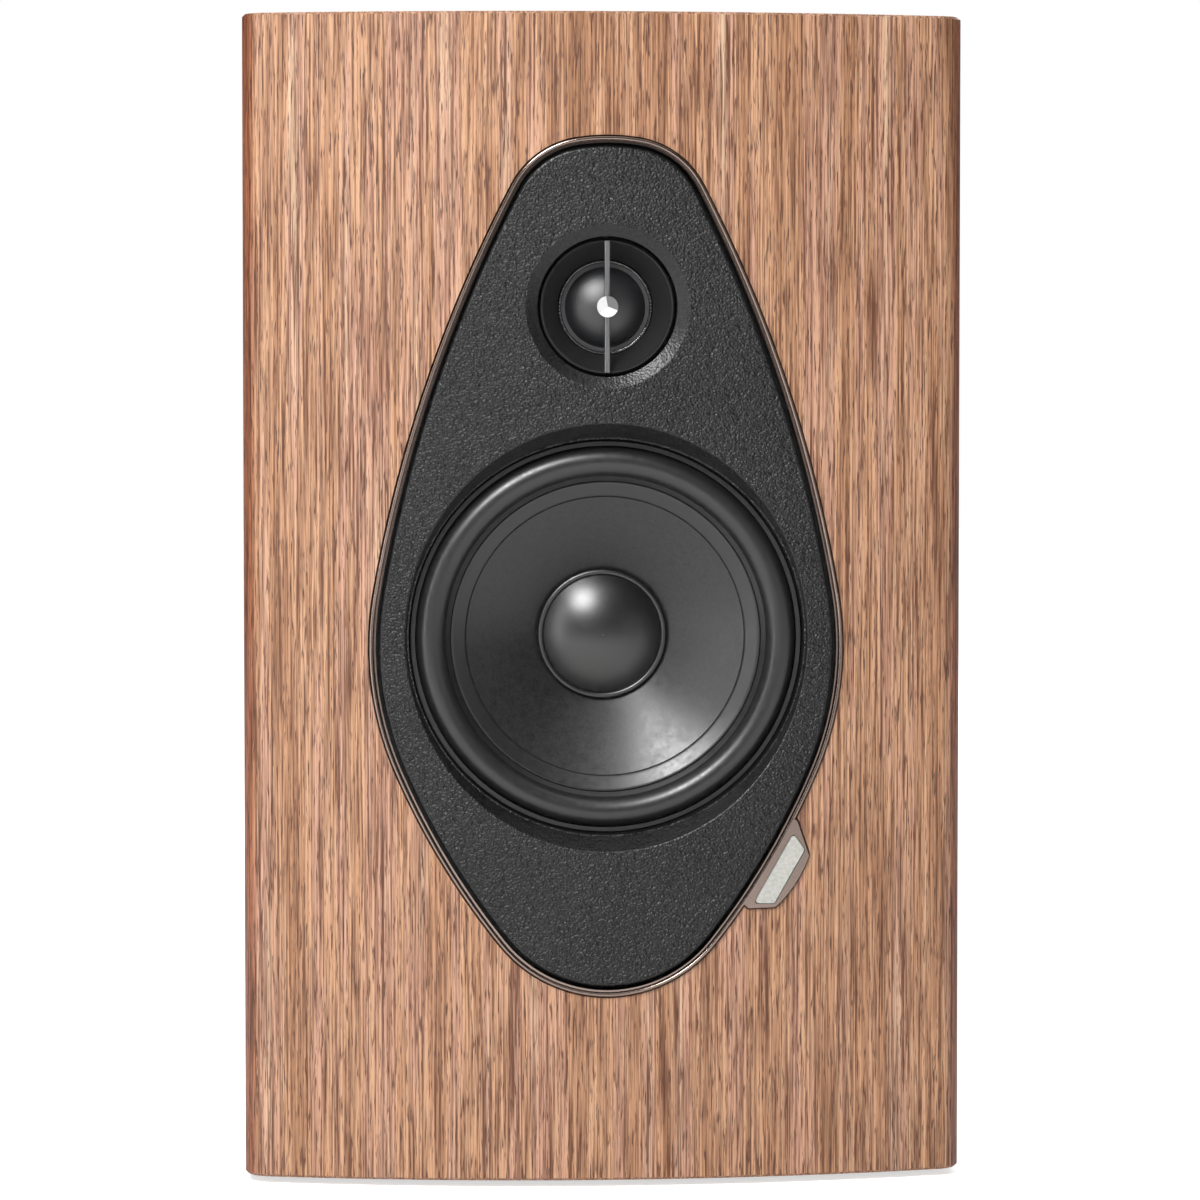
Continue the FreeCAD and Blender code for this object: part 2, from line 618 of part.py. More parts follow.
FLANGE_DEPTH = POCKET_DEPTH
BASKET_BACK = FLANGE_DEPTH + BASKET_DEPTH
PLATE_BACK = BASKET_BACK + TOP_PLATE
MAGNET_BACK = PLATE_BACK + MAGNET_THICKNESS
NECK_DEPTH = FLANGE_DEPTH + CONE_DEPTH
LEDGE_DEPTH = FLANGE_DEPTH + SPIDER_LEDGE
GASKET_THICKNESS = 0.8
FOOT_WIDTH = 1.3
CONE_RIM = ROLL_INNER + 0.6
BASKET_WALL = 2.5
BASKET_NECK = MAGNET_RADIUS + 1.5
BASKET_MOUTH = WOOFER_HOLE - 0.5


def woofer_basket():
    """Cast frame: flange, six spokes, spider ledge and back ring."""
    flange_back = FLANGE_DEPTH + FLANGE_THICKNESS
    flange = ring(WOOFER_Z, FLANGE_RADIUS, FLANGE_INNER, FLANGE_DEPTH, flange_back)
    wall_end = BASKET_BACK - 2
    wall = turned(WOOFER_Z, (BASKET_MOUTH - BASKET_WALL, flange_back), (BASKET_MOUTH, flange_back),
                  (BASKET_NECK, wall_end), (BASKET_NECK - BASKET_WALL, wall_end))
    back = ring(WOOFER_Z, BASKET_NECK, COIL_FORMER_RADIUS + 4.5, wall_end, BASKET_BACK)
    ledge = ring(WOOFER_Z, BASKET_NECK, SPIDER_LEDGE_INNER, LEDGE_DEPTH, LEDGE_DEPTH + 2)
    basket = fuse_all([flange, wall, back, ledge])
    window_from, window_to = flange_back + 2, LEDGE_DEPTH - 2
    half = BASKET_MOUTH * math.sin(math.pi / WINDOW_COUNT) - 7
    for i in range(WINDOW_COUNT):
        window = block(-half, half, FRONT_Y + window_from, FRONT_Y + window_to, 30, BASKET_MOUTH + 5)
        window.rotate(V(0, 0, 0), BACKWARD, 360 * (i + 0.5) / WINDOW_COUNT)
        window.translate(V(0, 0, WOOFER_Z))
        basket = basket.cut(window)
    for at in on_circle(WOOFER_Z, SCREW_CIRCLE, 4, 45):
        basket = basket.cut(screw_hole(at, FRONT_Y + FLANGE_DEPTH))
    return basket


def woofer_gasket():
    """Thin black ring that hides the surround's glued edge."""
    foot = FLANGE_DEPTH - ROLL_THICKNESS
    return ring(WOOFER_Z, BEVEL_RADIUS - 0.3, ROLL_OUTER + 0.3, foot - GASKET_THICKNESS, foot)


def woofer_surround():
    """Half-roll rubber surround with a flat foot on each side."""
    foot = FLANGE_DEPTH - ROLL_THICKNESS
    middle = (ROLL_OUTER + ROLL_INNER) / 2
    rise = (ROLL_OUTER - ROLL_INNER) / 2
    t = ROLL_THICKNESS
    return turned(WOOFER_Z, (BEVEL_RADIUS - 0.3, FLANGE_DEPTH), (BEVEL_RADIUS - 0.3, foot),
                  (ROLL_OUTER, foot), ((middle, foot - rise), (ROLL_INNER, foot)),
                  (ROLL_INNER - FOOT_WIDTH, foot), (ROLL_INNER - FOOT_WIDTH, FLANGE_DEPTH),
                  (ROLL_INNER + t, FLANGE_DEPTH),
                  ((middle, FLANGE_DEPTH - rise), (ROLL_OUTER - t, FLANGE_DEPTH)))


def woofer_cone():
    """Shallow curved paper cone with a flat rim for the surround."""
    rim = ROLL_INNER - FOOT_WIDTH - 0.6
    neck = COIL_FORMER_RADIUS
    t = CONE_THICKNESS
    half_r, half_d = (rim + neck) / 2, (FLANGE_DEPTH + NECK_DEPTH) / 2 - 0.7
    return turned(WOOFER_Z, (CONE_RIM, FLANGE_DEPTH), (rim, FLANGE_DEPTH),
                  ((half_r, half_d), (neck, NECK_DEPTH)), (neck, NECK_DEPTH + t * 1.3),
                  ((half_r, half_d + t * 1.3), (rim, FLANGE_DEPTH + t * 1.3)), (CONE_RIM, FLANGE_DEPTH + t))


def woofer_dust_cap():
    """Convex cap with a raised rim, glued on the cone."""
    rim_depth = NECK_DEPTH - 3.0
    top = rim_depth - CAP_HEIGHT
    edge = CAP_RADIUS + CAP_RIM
    outside = cap_middle(CAP_RADIUS, CAP_HEIGHT)
    wall = CAP_THICKNESS
    inner_radius = CAP_RADIUS + CAP_RIM / 3
    inside = cap_middle(inner_radius, CAP_HEIGHT)
    cap = turned(WOOFER_Z, (0, top), ((outside[0], top + outside[1]), (CAP_RADIUS, rim_depth)),
                 ((CAP_RADIUS + CAP_RIM / 2, rim_depth - 0.7), (edge, rim_depth)),
                 (edge, NECK_DEPTH), (inner_radius, NECK_DEPTH), (inner_radius, rim_depth + wall),
                 ((inside[0], top + wall + inside[1]), (0, top + wall)))
    pieces = cap.cut(woofer_cone()).Solids
    return max(pieces, key=lambda solid: solid.Volume)


def woofer_former():
    """Voice-coil former, glued in the cone's neck."""
    return ring(WOOFER_Z, COIL_FORMER_RADIUS, COIL_FORMER_RADIUS - COIL_FORMER_WALL,
                NECK_DEPTH - 0.4, MAGNET_BACK - 9)


def woofer_coil():
    return ring(WOOFER_Z, COIL_FORMER_RADIUS + COIL_THICKNESS, COIL_FORMER_RADIUS,
                BASKET_BACK - 2, MAGNET_BACK - 10)


def woofer_spider():
    """Corrugated centring disc between the former and the basket's ledge."""
    front = LEDGE_DEPTH - SPIDER_THICKNESS
    inner, outer = COIL_FORMER_RADIUS, BASKET_NECK - BASKET_WALL - 2
    wave_out = SPIDER_LEDGE_INNER - 1
    count = 4
    pitch = (wave_out - inner - 1.5) / count
    top, bottom = [], []
    r = wave_out
    for i in range(count):
        lift = 1.1 if i % 2 else -1.1
        top.append(((r - pitch / 2, front + lift), (r - pitch, front)))
        bottom.insert(0, ((r - pitch / 2, LEDGE_DEPTH + lift), (r, LEDGE_DEPTH)))
        r -= pitch
    return turned(WOOFER_Z, (outer, LEDGE_DEPTH), (outer, front), (wave_out, front), *top,
                  (inner, front), (inner, LEDGE_DEPTH), (r, LEDGE_DEPTH), *bottom)


def woofer_top_plate():
    gap = COIL_FORMER_RADIUS + COIL_THICKNESS + PLATE_GAP
    return ring(WOOFER_Z, TOP_PLATE_RADIUS, gap, BASKET_BACK, PLATE_BACK)


def woofer_magnet():
    return ring(WOOFER_Z, MAGNET_RADIUS, MAGNET_BORE, PLATE_BACK, MAGNET_BACK)


def woofer_yoke():
    """Back plate with its vented centre pole."""
    back = MAGNET_BACK + YOKE_THICKNESS
    pole = COIL_FORMER_RADIUS - COIL_FORMER_WALL - POLE_GAP
    return turned(WOOFER_Z, (VENT_RADIUS, BASKET_BACK - 1), (pole - 1, BASKET_BACK - 1), (pole, BASKET_BACK),
                  (pole, MAGNET_BACK), (TOP_PLATE_RADIUS, MAGNET_BACK), (TOP_PLATE_RADIUS, back - 1.5),
                  (TOP_PLATE_RADIUS - 1.5, back), (VENT_RADIUS, back))


def woofer_terminals():
    """Insulating strip on the basket's lower edge for the two leads."""
    y1 = FRONT_Y + BASKET_BACK
    low = WOOFER_Z - BASKET_NECK - 6.5
    strip = block(-9, 9, y1 - 2, y1, low, WOOFER_Z - BASKET_NECK + 3)
    return strip.cut(rod((0, WOOFER_Z), BASKET_NECK, y1 - 3, y1 + 1))


# ---- Tweeter ----

SEAT = POCKET_DEPTH
TWEETER_BACK = SEAT + FACEPLATE_THICKNESS
DOME_DEPTH = TWEETER_BACK - 0.5
NECK_FRONT = SEAT - NECK_LENGTH


def tweeter_faceplate():
    """Black ring with a bright-edged lip and a smooth flare down to the dome."""
    plate = turned(TWEETER_Z, (NECK_RADIUS, SEAT), (NECK_RADIUS, NECK_FRONT + 0.4),
                   (NECK_RADIUS - 0.4, NECK_FRONT), (NECK_RADIUS - 0.9, NECK_FRONT),
                   (NECK_RADIUS - 1.2, NECK_FRONT + 0.5),
                   ((THROAT_RADIUS + 1.6, SEAT - 1.2), (THROAT_RADIUS, SEAT + 1.4)),
                   (THROAT_RADIUS, DOME_DEPTH), (SURROUND_OUTER + 0.2, DOME_DEPTH),
                   (SURROUND_OUTER + 0.2, TWEETER_BACK), (FACEPLATE_RADIUS, TWEETER_BACK),
                   (FACEPLATE_RADIUS, SEAT))
    for at in on_circle(TWEETER_Z, TWEETER_SCREW_CIRCLE, 3, 90):
        plate = plate.cut(screw_hole(at, FRONT_Y + SEAT))
    return plate


def tweeter_surround():
    """Small fabric roll between the faceplate and the dome's rim."""
    middle = (THROAT_RADIUS + DOME_RIM) / 2
    return turned(TWEETER_Z, (SURROUND_OUTER, TWEETER_BACK), (SURROUND_OUTER, DOME_DEPTH),
                  (THROAT_RADIUS, DOME_DEPTH), ((middle, DOME_DEPTH - 0.5), (DOME_RIM, DOME_DEPTH)),
                  (DOME_RIM, TWEETER_BACK))


def tweeter_dome():
    """Silk dome with its flat rim."""
    top = DOME_DEPTH - DOME_HEIGHT
    wall = DOME_THICKNESS
    outside = cap_middle(DOME_RADIUS, DOME_HEIGHT)
    inside = cap_middle(DOME_RADIUS - wall, DOME_HEIGHT)
    return turned(TWEETER_Z, (0, top), ((outside[0], top + outside[1]), (DOME_RADIUS, DOME_DEPTH)),
                  (DOME_RIM, DOME_DEPTH), (DOME_RIM, TWEETER_BACK), (DOME_RADIUS - wall, TWEETER_BACK),
                  ((inside[0], top + wall + inside[1]), (0, top + wall)))


def tweeter_coil():
    return ring(TWEETER_Z, DOME_RIM - 0.1, DOME_RIM - 0.7, TWEETER_BACK, TWEETER_BACK + 4.0)


def tweeter_damper_bar():
    """Vertical bar across the tweeter with a central hub that ends just before the dome."""
    y1 = FRONT_Y + NECK_FRONT
    y0 = y1 - BAR_THICKNESS
    half, wide, thin = BAR_LENGTH / 2, BAR_WIDTH / 2, BAR_WAIST / 2
    points = [(wide, TWEETER_Z + half), (thin, TWEETER_Z), (wide, TWEETER_Z - half),
              (-wide, TWEETER_Z - half), (-thin, TWEETER_Z), (-wide, TWEETER_Z + half)]
    bar = grown_prism(points, 0, y0, y1)
    front = [edge for edge in bar.Edges if edge.BoundBox.YMax < y0 + 0.01 and edge.Length > half / 2]
    bar = bar.makeFillet(BAR_EDGE_ROUND, front)
    hub_end = FRONT_Y + DOME_DEPTH - DOME_HEIGHT - HUB_DOME_GAP
    return bar.fuse(rod((0, TWEETER_Z), HUB_RADIUS, y0, hub_end)).removeSplitter()


def tweeter_apex_cap():
    """Bright round stud with three cut facets."""
    y1 = FRONT_Y + NECK_FRONT - BAR_THICKNESS
    stud = rod((0, TWEETER_Z), APEX_RADIUS, y1 - APEX_EDGE - APEX_POINT, y1)
    reach = 3 * APEX_RADIUS
    tip = V(0, y1 - APEX_EDGE - APEX_POINT, TWEETER_Z)
    corners = []
    for i in range(3):
        angle = math.radians(100 + 120 * i)
        corners.append(V(reach * math.cos(angle), tip.y + APEX_SLANT,
                         TWEETER_Z + reach * math.sin(angle)))
    below = [V(c.x, y1 + 1, c.z) for c in corners]
    faces = [Part.Face(Part.makePolygon(below + [below[0]]))]
    for i in range(3):
        j = (i + 1) % 3
        faces.append(Part.Face(Part.makePolygon([tip, corners[i], corners[j], tip])))
        faces.append(Part.Face(Part.makePolygon([corners[i], corners[j], below[j], below[i], corners[i]])))
    crystal = Part.makeSolid(Part.makeShell(faces))
    return stud.common(crystal)


def tweeter_top_plate():
    return ring(TWEETER_Z, TWEETER_PLATE_RADIUS, DOME_RIM + 0.6, TWEETER_BACK, TWEETER_BACK + TWEETER_PLATE)


def tweeter_magnet():
    start = TWEETER_BACK + TWEETER_PLATE
    return ring(TWEETER_Z, TWEETER_PLATE_RADIUS, DOME_RIM + 2.2, start, start + TWEETER_MAGNET)


def tweeter_yoke():
    """Back plate and hollow pole of the tweeter's magnet."""
    start = TWEETER_BACK + TWEETER_PLATE + TWEETER_MAGNET
    pole = DOME_RIM - 0.7 - 0.7
    return turned(TWEETER_Z, (4.0, TWEETER_BACK + 0.6), (pole, TWEETER_BACK + 0.6), (pole, start),
                  (TWEETER_PLATE_RADIUS, start), (TWEETER_PLATE_RADIUS, start + TWEETER_YOKE),
                  (4.0, start + TWEETER_YOKE))


def tweeter_chamber():
    """Closed cup behind the vented pole."""
    start = TWEETER_BACK + TWEETER_PLATE + TWEETER_MAGNET + TWEETER_YOKE
    inside = CHAMBER_RADIUS - CHAMBER_WALL
    end = start + CHAMBER_LENGTH
    return turned(TWEETER_Z, (0, end), (0, end - CHAMBER_WALL), (inside, end - CHAMBER_WALL), (inside, start),
                  (CHAMBER_RADIUS, start), (CHAMBER_RADIUS, end - 2), (CHAMBER_RADIUS - 2, end))


# ---- Rear bay ----

def plate_screw_places():
    """Four screws down each side of the rear plate."""
    x = PLATE_WIDTH / 2 - PLATE_BORDER / 2 - 0.4
    low, high = PLATE_Z + 6, PLATE_Z + PLATE_HEIGHT - 6
    return [(side * x, low + (high - low) * i / 3) for side in (-1, 1) for i in range(4)]


def rear_plate():
    """Aluminium plate that carries every connector."""
    half = PLATE_WIDTH / 2
    plate = block(-half, half, BAY_Y, PLATE_Y, PLATE_Z, PLATE_Z + PLATE_HEIGHT)
    plate = rounded(plate, PLATE_CORNER, BACKWARD)
    holes = [around(INLET_AT, 13.5, 10, BAY_Y, PLATE_Y), around(SWITCH_AT, 8, 11, BAY_Y, PLATE_Y),
             around(VIDEO_AT, 8, 3.5, BAY_Y, PLATE_Y), around(NETWORK_AT, 8, 7, BAY_Y, PLATE_Y),
             around(OPTICAL_AT, 5.5, 5.5, BAY_Y, PLATE_Y)]
    holes += [rod(at, 5.0, BAY_Y, PLATE_Y) for at in PHONO_SOCKETS]
    holes += [rod(at, BUTTON_RADIUS + BUTTON_CLEARANCE, BAY_Y, PLATE_Y) for at in (PAIR_AT, SETUP_AT)]
    holes += [rod(at, SCREW_RADIUS, BAY_Y, PLATE_Y) for at in plate_screw_places()]
    for hole in holes:
        plate = plate.cut(hole)
    return plate


def rear_plate_screws():
    pieces = []
    for at in plate_screw_places():
        head = rod(at, 3.0, PLATE_Y, PLATE_Y + 1.8)
        head = head.cut(hex_socket(at, PLATE_Y + 0.6, PLATE_Y + 1.8))
        pieces.append(head.fuse(rod(at, SCREW_RADIUS, BAY_Y - PLATE_SCREW_GRIP, PLATE_Y)))
    return Part.makeCompound(pieces)


def hex_socket(at, y0, y1):
    """Six-sided recess of a socket-head screw."""
    turns = [math.radians(60 * i) for i in range(7)]
    corners = [V(at[0] + 1.3 * math.cos(a), y0, at[1] + 1.3 * math.sin(a)) for a in turns]
    return Part.Face(Part.makePolygon(corners)).extrude(V(0, y1 - y0, 0))


def heat_sink():
    """Finned aluminium heat sink over the amplifier board."""
    half = SINK_WIDTH / 2
    z0 = AMPLIFIER_Z + (AMPLIFIER_BOARD_HEIGHT - SINK_HEIGHT) / 2
    fin_y = PLATE_Y + SINK_BASE
    parts = [block(-half, half, PLATE_Y, fin_y, z0, z0 + SINK_HEIGHT)]
    pitch = (SINK_WIDTH - SINK_FIN_THICKNESS) / (SINK_FIN_COUNT - 1)
    for i in range(SINK_FIN_COUNT):
        x = -half + i * pitch
        parts.append(block(x, x + SINK_FIN_THICKNESS, fin_y, fin_y + SINK_FIN, z0, z0 + SINK_HEIGHT))
    return fuse_all(parts)


def reflex_port():
    """Flared bass port from the bay into the cabinet."""
    end = BAY_DEPTH + PORT_FLANGE
    start = end - PORT_LENGTH
    r, w, f = PORT_RADIUS, PORT_WALL, PORT_FLARE
    bulge = f * 0.29
    return turned(PORT_Z, (r + f, end), ((r + bulge, end - bulge * 1.0 - 0.4), (r, end - f - 2)),
                  (r, start + f + 2), ((r + bulge, start + bulge + 0.4), (r + f, start)),
                  (r + f + w * 0.6, start + 1), ((r + w + 1.2, start + f), (r + w, start + f + 6)),
                  (r + w, BAY_DEPTH), (PORT_FLANGE_RADIUS, BAY_DEPTH), (PORT_FLANGE_RADIUS, end - 1),
                  (PORT_FLANGE_RADIUS - 1, end))


def mains_inlet():
    """Three-pin mains inlet with its flange."""
    at = INLET_AT
    body = around(at, 13.5, 10, BOARD_Y, PLATE_Y).fuse(around(at, 15.5, 12, PLATE_Y, PLATE_Y + 2))
    inlet = body.removeSplitter().cut(around(at, 11.8, 8.2, PLATE_Y - 13, PLATE_Y + 2))
    inlet = inlet.cut(around((at[0], at[1]), 11.8, 8.2, PLATE_Y - 13, PLATE_Y + 2))
    for dx, dz in ((-7, -1.5), (7, -1.5), (0, 2.5)):
        inlet = inlet.fuse(around((at[0] + dx, at[1] + dz), 1.0, 2.0, PLATE_Y - 13, PLATE_Y - 3))
    return inlet.removeSplitter()


def switch_pivot_y():
    return PLATE_Y - 4.5


def power_switch_frame():
    """Bezel and housing of the mains switch."""
    at = SWITCH_AT
    body = around(at, 8, 11, BOARD_Y, PLATE_Y).fuse(around(at, 9.5, 12.5, PLATE_Y, PLATE_Y + 1.5))
    frame = body.removeSplitter().cut(around(at, 6.2, 9.9, PLATE_Y - 14, PLATE_Y + 2))
    pin_start = V(at[0] - 7.3, switch_pivot_y(), at[1])
    pin = Part.makeCylinder(ROCKER_PIN + PIN_CLEARANCE, 14.6, pin_start, V(1, 0, 0))
    return frame.cut(pin)


def power_rocker():
    """Rocker on its cross pin, at rest with its lower half pressed in (off)."""
    at = SWITCH_AT
    pivot = switch_pivot_y()
    half_x, half_z = ROCKER_WIDTH / 2, ROCKER_HEIGHT / 2
    start = V(at[0] - half_x, pivot + 5.2, at[1] - half_z)
    dip = V(at[0] - half_x, pivot + 3.9, at[1])
    far = V(at[0] - half_x, pivot + 5.2, at[1] + half_z)
    low = V(at[0] - half_x, pivot + 0.5, at[1] + half_z)
    belly = V(at[0] - half_x, pivot - 5.5, at[1])
    near = V(at[0] - half_x, pivot + 0.5, at[1] - half_z)
    wire = Part.Wire([Part.Arc(start, dip, far).toShape(), Part.makeLine(far, low),
                      Part.Arc(low, belly, near).toShape(), Part.makeLine(near, start)])
    rocker = Part.Face(wire).extrude(V(ROCKER_WIDTH, 0, 0))
    pin = Part.makeCylinder(ROCKER_PIN, 14.0, V(at[0] - 7.0, pivot, at[1]), V(1, 0, 0))
    rocker = rocker.fuse(pin).removeSplitter()
    rocker.rotate(V(at[0], pivot, at[1]), V(1, 0, 0), ROCKER_TILT)
    return rocker


def framed_socket(at, half_x, half_z, cavity_x, cavity_z, cavity_depth):
    """A socket body from the board through the plate, with its cavity."""
    body = around(at, half_x, half_z, BOARD_Y, PLATE_Y + 0.6)
    return body.cut(around(at, cavity_x, cavity_z, PLATE_Y + 0.6 - cavity_depth, PLATE_Y + 0.6))


def video_socket():
    socket = framed_socket(VIDEO_AT, 8, 3.5, 7.2, 2.5, 11)
    tongue = around(VIDEO_AT, 5.5, 0.6, PLATE_Y - 10.4, PLATE_Y - 4.5)
    return socket.fuse(tongue).removeSplitter()


def network_socket():
    return framed_socket(NETWORK_AT, 8, 7, 5.9, 4.2, 13)


def optical_socket():
    return framed_socket(OPTICAL_AT, 5.5, 5.5, 3.6, 3.6, 9)


def phono_sockets():
    """Two line inputs and one subwoofer output."""
    pieces = []
    for at in PHONO_SOCKETS:
        body = rod(at, 5.0, BOARD_Y, PLATE_Y).fuse(rod(at, 6.0, PLATE_Y, PLATE_Y + 1))
        body = body.fuse(rod(at, 4.15, PLATE_Y + 1, PLATE_Y + 8.6)).removeSplitter()
        pieces.append(body.cut(rod(at, 1.65, PLATE_Y - 2, PLATE_Y + 8.6)))
    return Part.makeCompound(pieces)


def push_button(at):
    """A round button with a collar behind the plate."""
    stem = rod(at, BUTTON_RADIUS, BAY_Y - 4.0, PLATE_Y + BUTTON_PROUD)
    rim = stem.Edges
    rim = [e for e in rim if abs(e.CenterOfMass.y - PLATE_Y - BUTTON_PROUD) < 1e-6]
    stem = stem.makeFillet(0.5, rim)
    return stem.fuse(rod(at, BUTTON_RADIUS + 1, BAY_Y - 1.8, BAY_Y - 0.3)).removeSplitter()


def button_switches():
    """Miniature push switches behind the two buttons."""
    pieces = []
    for at in (PAIR_AT, SETUP_AT):
        body = around(at, 3, 3, BOARD_Y, BAY_Y - 8.0)
        pieces.append(body.fuse(rod(at, 1.6, BAY_Y - 8.0, BAY_Y - 4.3 - BUTTON_TRAVEL)).removeSplitter())
    return Part.makeCompound(pieces)


def standoff_places(z0, height):
    x = BOARD_WIDTH / 2 - STANDOFF_INSET
    return [(side * x, z) for side in (-1, 1) for z in (z0 + STANDOFF_INSET, z0 + height - STANDOFF_INSET)]


def board_standoffs():
    """Spacers from the rear plate to the boards, and on to the power supply board."""
    posts = []
    lower = standoff_places(BOARD_Z, MAIN_BOARD_HEIGHT)
    for at in lower + standoff_places(AMPLIFIER_Z, AMPLIFIER_BOARD_HEIGHT):
        posts.append(rod(at, STANDOFF_RADIUS, BOARD_Y, BAY_Y))
    for at in lower:
        posts.append(rod(at, STANDOFF_RADIUS, SUPPLY_Y, BOARD_Y - BOARD_THICKNESS))
    return Part.makeCompound(posts)


def main_board():
    half = BOARD_WIDTH / 2
    return board(-half, half, BOARD_Y - BOARD_THICKNESS, BOARD_Z, BOARD_Z + MAIN_BOARD_HEIGHT)


def amplifier_board():
    half = BOARD_WIDTH / 2
    return board(-half, half, BOARD_Y - BOARD_THICKNESS, AMPLIFIER_Z, AMPLIFIER_Z + AMPLIFIER_BOARD_HEIGHT)


def power_supply_board():
    half = BOARD_WIDTH / 2
    return board(-half, half, SUPPLY_Y - BOARD_THICKNESS, BOARD_Z, BOARD_Z + MAIN_BOARD_HEIGHT)


def power_transformer():
    """Ferrite core with its winding, on the power supply board."""
    z = BOARD_Z + 44
    core = around((-14, z), 15, 12, SUPPLY_Y, SUPPLY_Y + 22)
    slot = block(-25, -3, SUPPLY_Y + 5, SUPPLY_Y + 17, z - 12, z + 12)
    winding = block(-23, -5, SUPPLY_Y + 5.5, SUPPLY_Y + 16.5, z - 14.5, z + 14.5)
    spool = block(-25, -3, SUPPLY_Y + 5, SUPPLY_Y + 5.5, z - 12, z + 12)
    return core.cut(slot).fuse([winding, spool]).removeSplitter()


def filter_capacitors():
    """Reservoir capacitors standing on the power supply board."""
    places = [(14, BOARD_Z + 16), (32, BOARD_Z + 22), (14, BOARD_Z + 36), (30, BOARD_Z + 48)]
    return Part.makeCompound([rod(at, 7.5, SUPPLY_Y, SUPPLY_Y + 24) for at in places])


def amplifier_chips():
    """Power amplifier packages that press on the rear plate."""
    z = AMPLIFIER_Z + AMPLIFIER_BOARD_HEIGHT / 2
    return Part.makeCompound([around((x, z), 9, 9, BOARD_Y, BAY_Y) for x in (-16, 16)])


def output_inductors():
    """Output filter chokes on the front side of the amplifier board."""
    y1 = BOARD_Y - BOARD_THICKNESS
    return Part.makeCompound([tube((x, AMPLIFIER_Z + 50), 7, 3, y1 - 7, y1) for x in (-26, -9, 9, 26)])


def bent_lead(points, x):
    """An insulated wire in the plane x, through (y, z) points with rounded turns."""
    corners = [V(x, y, z) for y, z in points]
    edges = []
    here = corners[0]
    for before, corner, after in zip(corners, corners[1:], corners[2:]):
        back = (before - corner).normalize()
        ahead = (after - corner).normalize()
        half_turn = (math.pi - back.getAngle(ahead)) / 2
        setback = LEAD_BEND * math.tan(half_turn)
        inward = (back + ahead).normalize()
        rise = LEAD_BEND / math.cos(half_turn) - LEAD_BEND
        edges.append(Part.makeLine(here, corner + back * setback))
        edges.append(Part.Arc(corner + back * setback, corner + inward * rise,
                              corner + ahead * setback).toShape())
        here = corner + ahead * setback
    edges.append(Part.makeLine(here, corners[-1]))
    path = Part.Wire(edges)
    first = (corners[1] - corners[0]).normalize()
    section = Part.Wire([Part.makeCircle(LEAD_RADIUS, corners[0], first)])
    return path.makePipeShell([section], True, True)


def woofer_leads():
    y0, z0 = BOARD_Y - BOARD_THICKNESS, AMPLIFIER_Z + 8
    y1, z1 = FRONT_Y + BASKET_BACK, WOOFER_Z - BASKET_NECK - 3.5
    points = [(y0, z0), (y0 - 50, z0), (y0 - 95, z1), (y1, z1)]
    return Part.makeCompound([bent_lead(points, side * LEAD_SPACING / 2) for side in (-1, 1)])


def tweeter_leads():
    y0, z0 = BOARD_Y - BOARD_THICKNESS, AMPLIFIER_Z + 34
    y1 = FRONT_Y + TWEETER_BACK + TWEETER_PLATE + TWEETER_MAGNET + TWEETER_YOKE + CHAMBER_LENGTH
    points = [(y0, z0), (y0 - 35, z0), (y1 + 50, TWEETER_Z), (y1, TWEETER_Z)]
    return Part.makeCompound([bent_lead(points, side * LEAD_SPACING / 2) for side in (-1, 1)])


PIECES = [cabinet_shell, top_panel, bottom_panel, rear_baffle, inner_brace, damping_pads, driver_baffle,
          driver_screws, leather_panel, trim_frame, status_light_lens, status_light_board,
          woofer_basket, woofer_gasket, woofer_surround, woofer_cone, woofer_dust_cap, woofer_former,
          woofer_coil, woofer_spider, woofer_top_plate, woofer_magnet, woofer_yoke, woofer_terminals,
          tweeter_faceplate, tweeter_surround, tweeter_dome, tweeter_coil, tweeter_damper_bar,
          tweeter_apex_cap, tweeter_top_plate, tweeter_magnet, tweeter_yoke, tweeter_chamber,
          rear_plate, rear_plate_screws, heat_sink, reflex_port, mains_inlet, power_switch_frame,
          power_rocker, video_socket, network_socket, optical_socket, phono_sockets, button_switches,
          board_standoffs, main_board, amplifier_board, power_supply_board, power_transformer,
          filter_capacitors, amplifier_chips, output_inductors, woofer_leads, tweeter_leads,
          rubber_feet, stand_inserts]

BUTTONS = {"pair_button": PAIR_AT, "setup_button": SETUP_AT}


def main():
    os.makedirs("parts", exist_ok=True)
    for piece in PIECES:
        shape = piece()
        print(piece.__name__, "solids", len(shape.Solids), "valid", shape.isValid(),
              "volume", round(shape.Volume, 1))
        shape.exportStep("parts/" + piece.__name__ + ".step")
    for name, at in BUTTONS.items():
        push_button(at).exportStep("parts/" + name + ".step")


main()
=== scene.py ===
# %% [markdown]
# Bookshelf loudspeaker, dressed in Blender
# The joiner's and metalworker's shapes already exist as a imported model. This lesson gives them their
# finishes, makes the few soft or bendy pieces by hand, and sets up a plain studio round them.

# %% Load the fixed frame
import math

import bmesh
import bpy
import numpy as np
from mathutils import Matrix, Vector
from mathutils.bvhtree import BVHTree


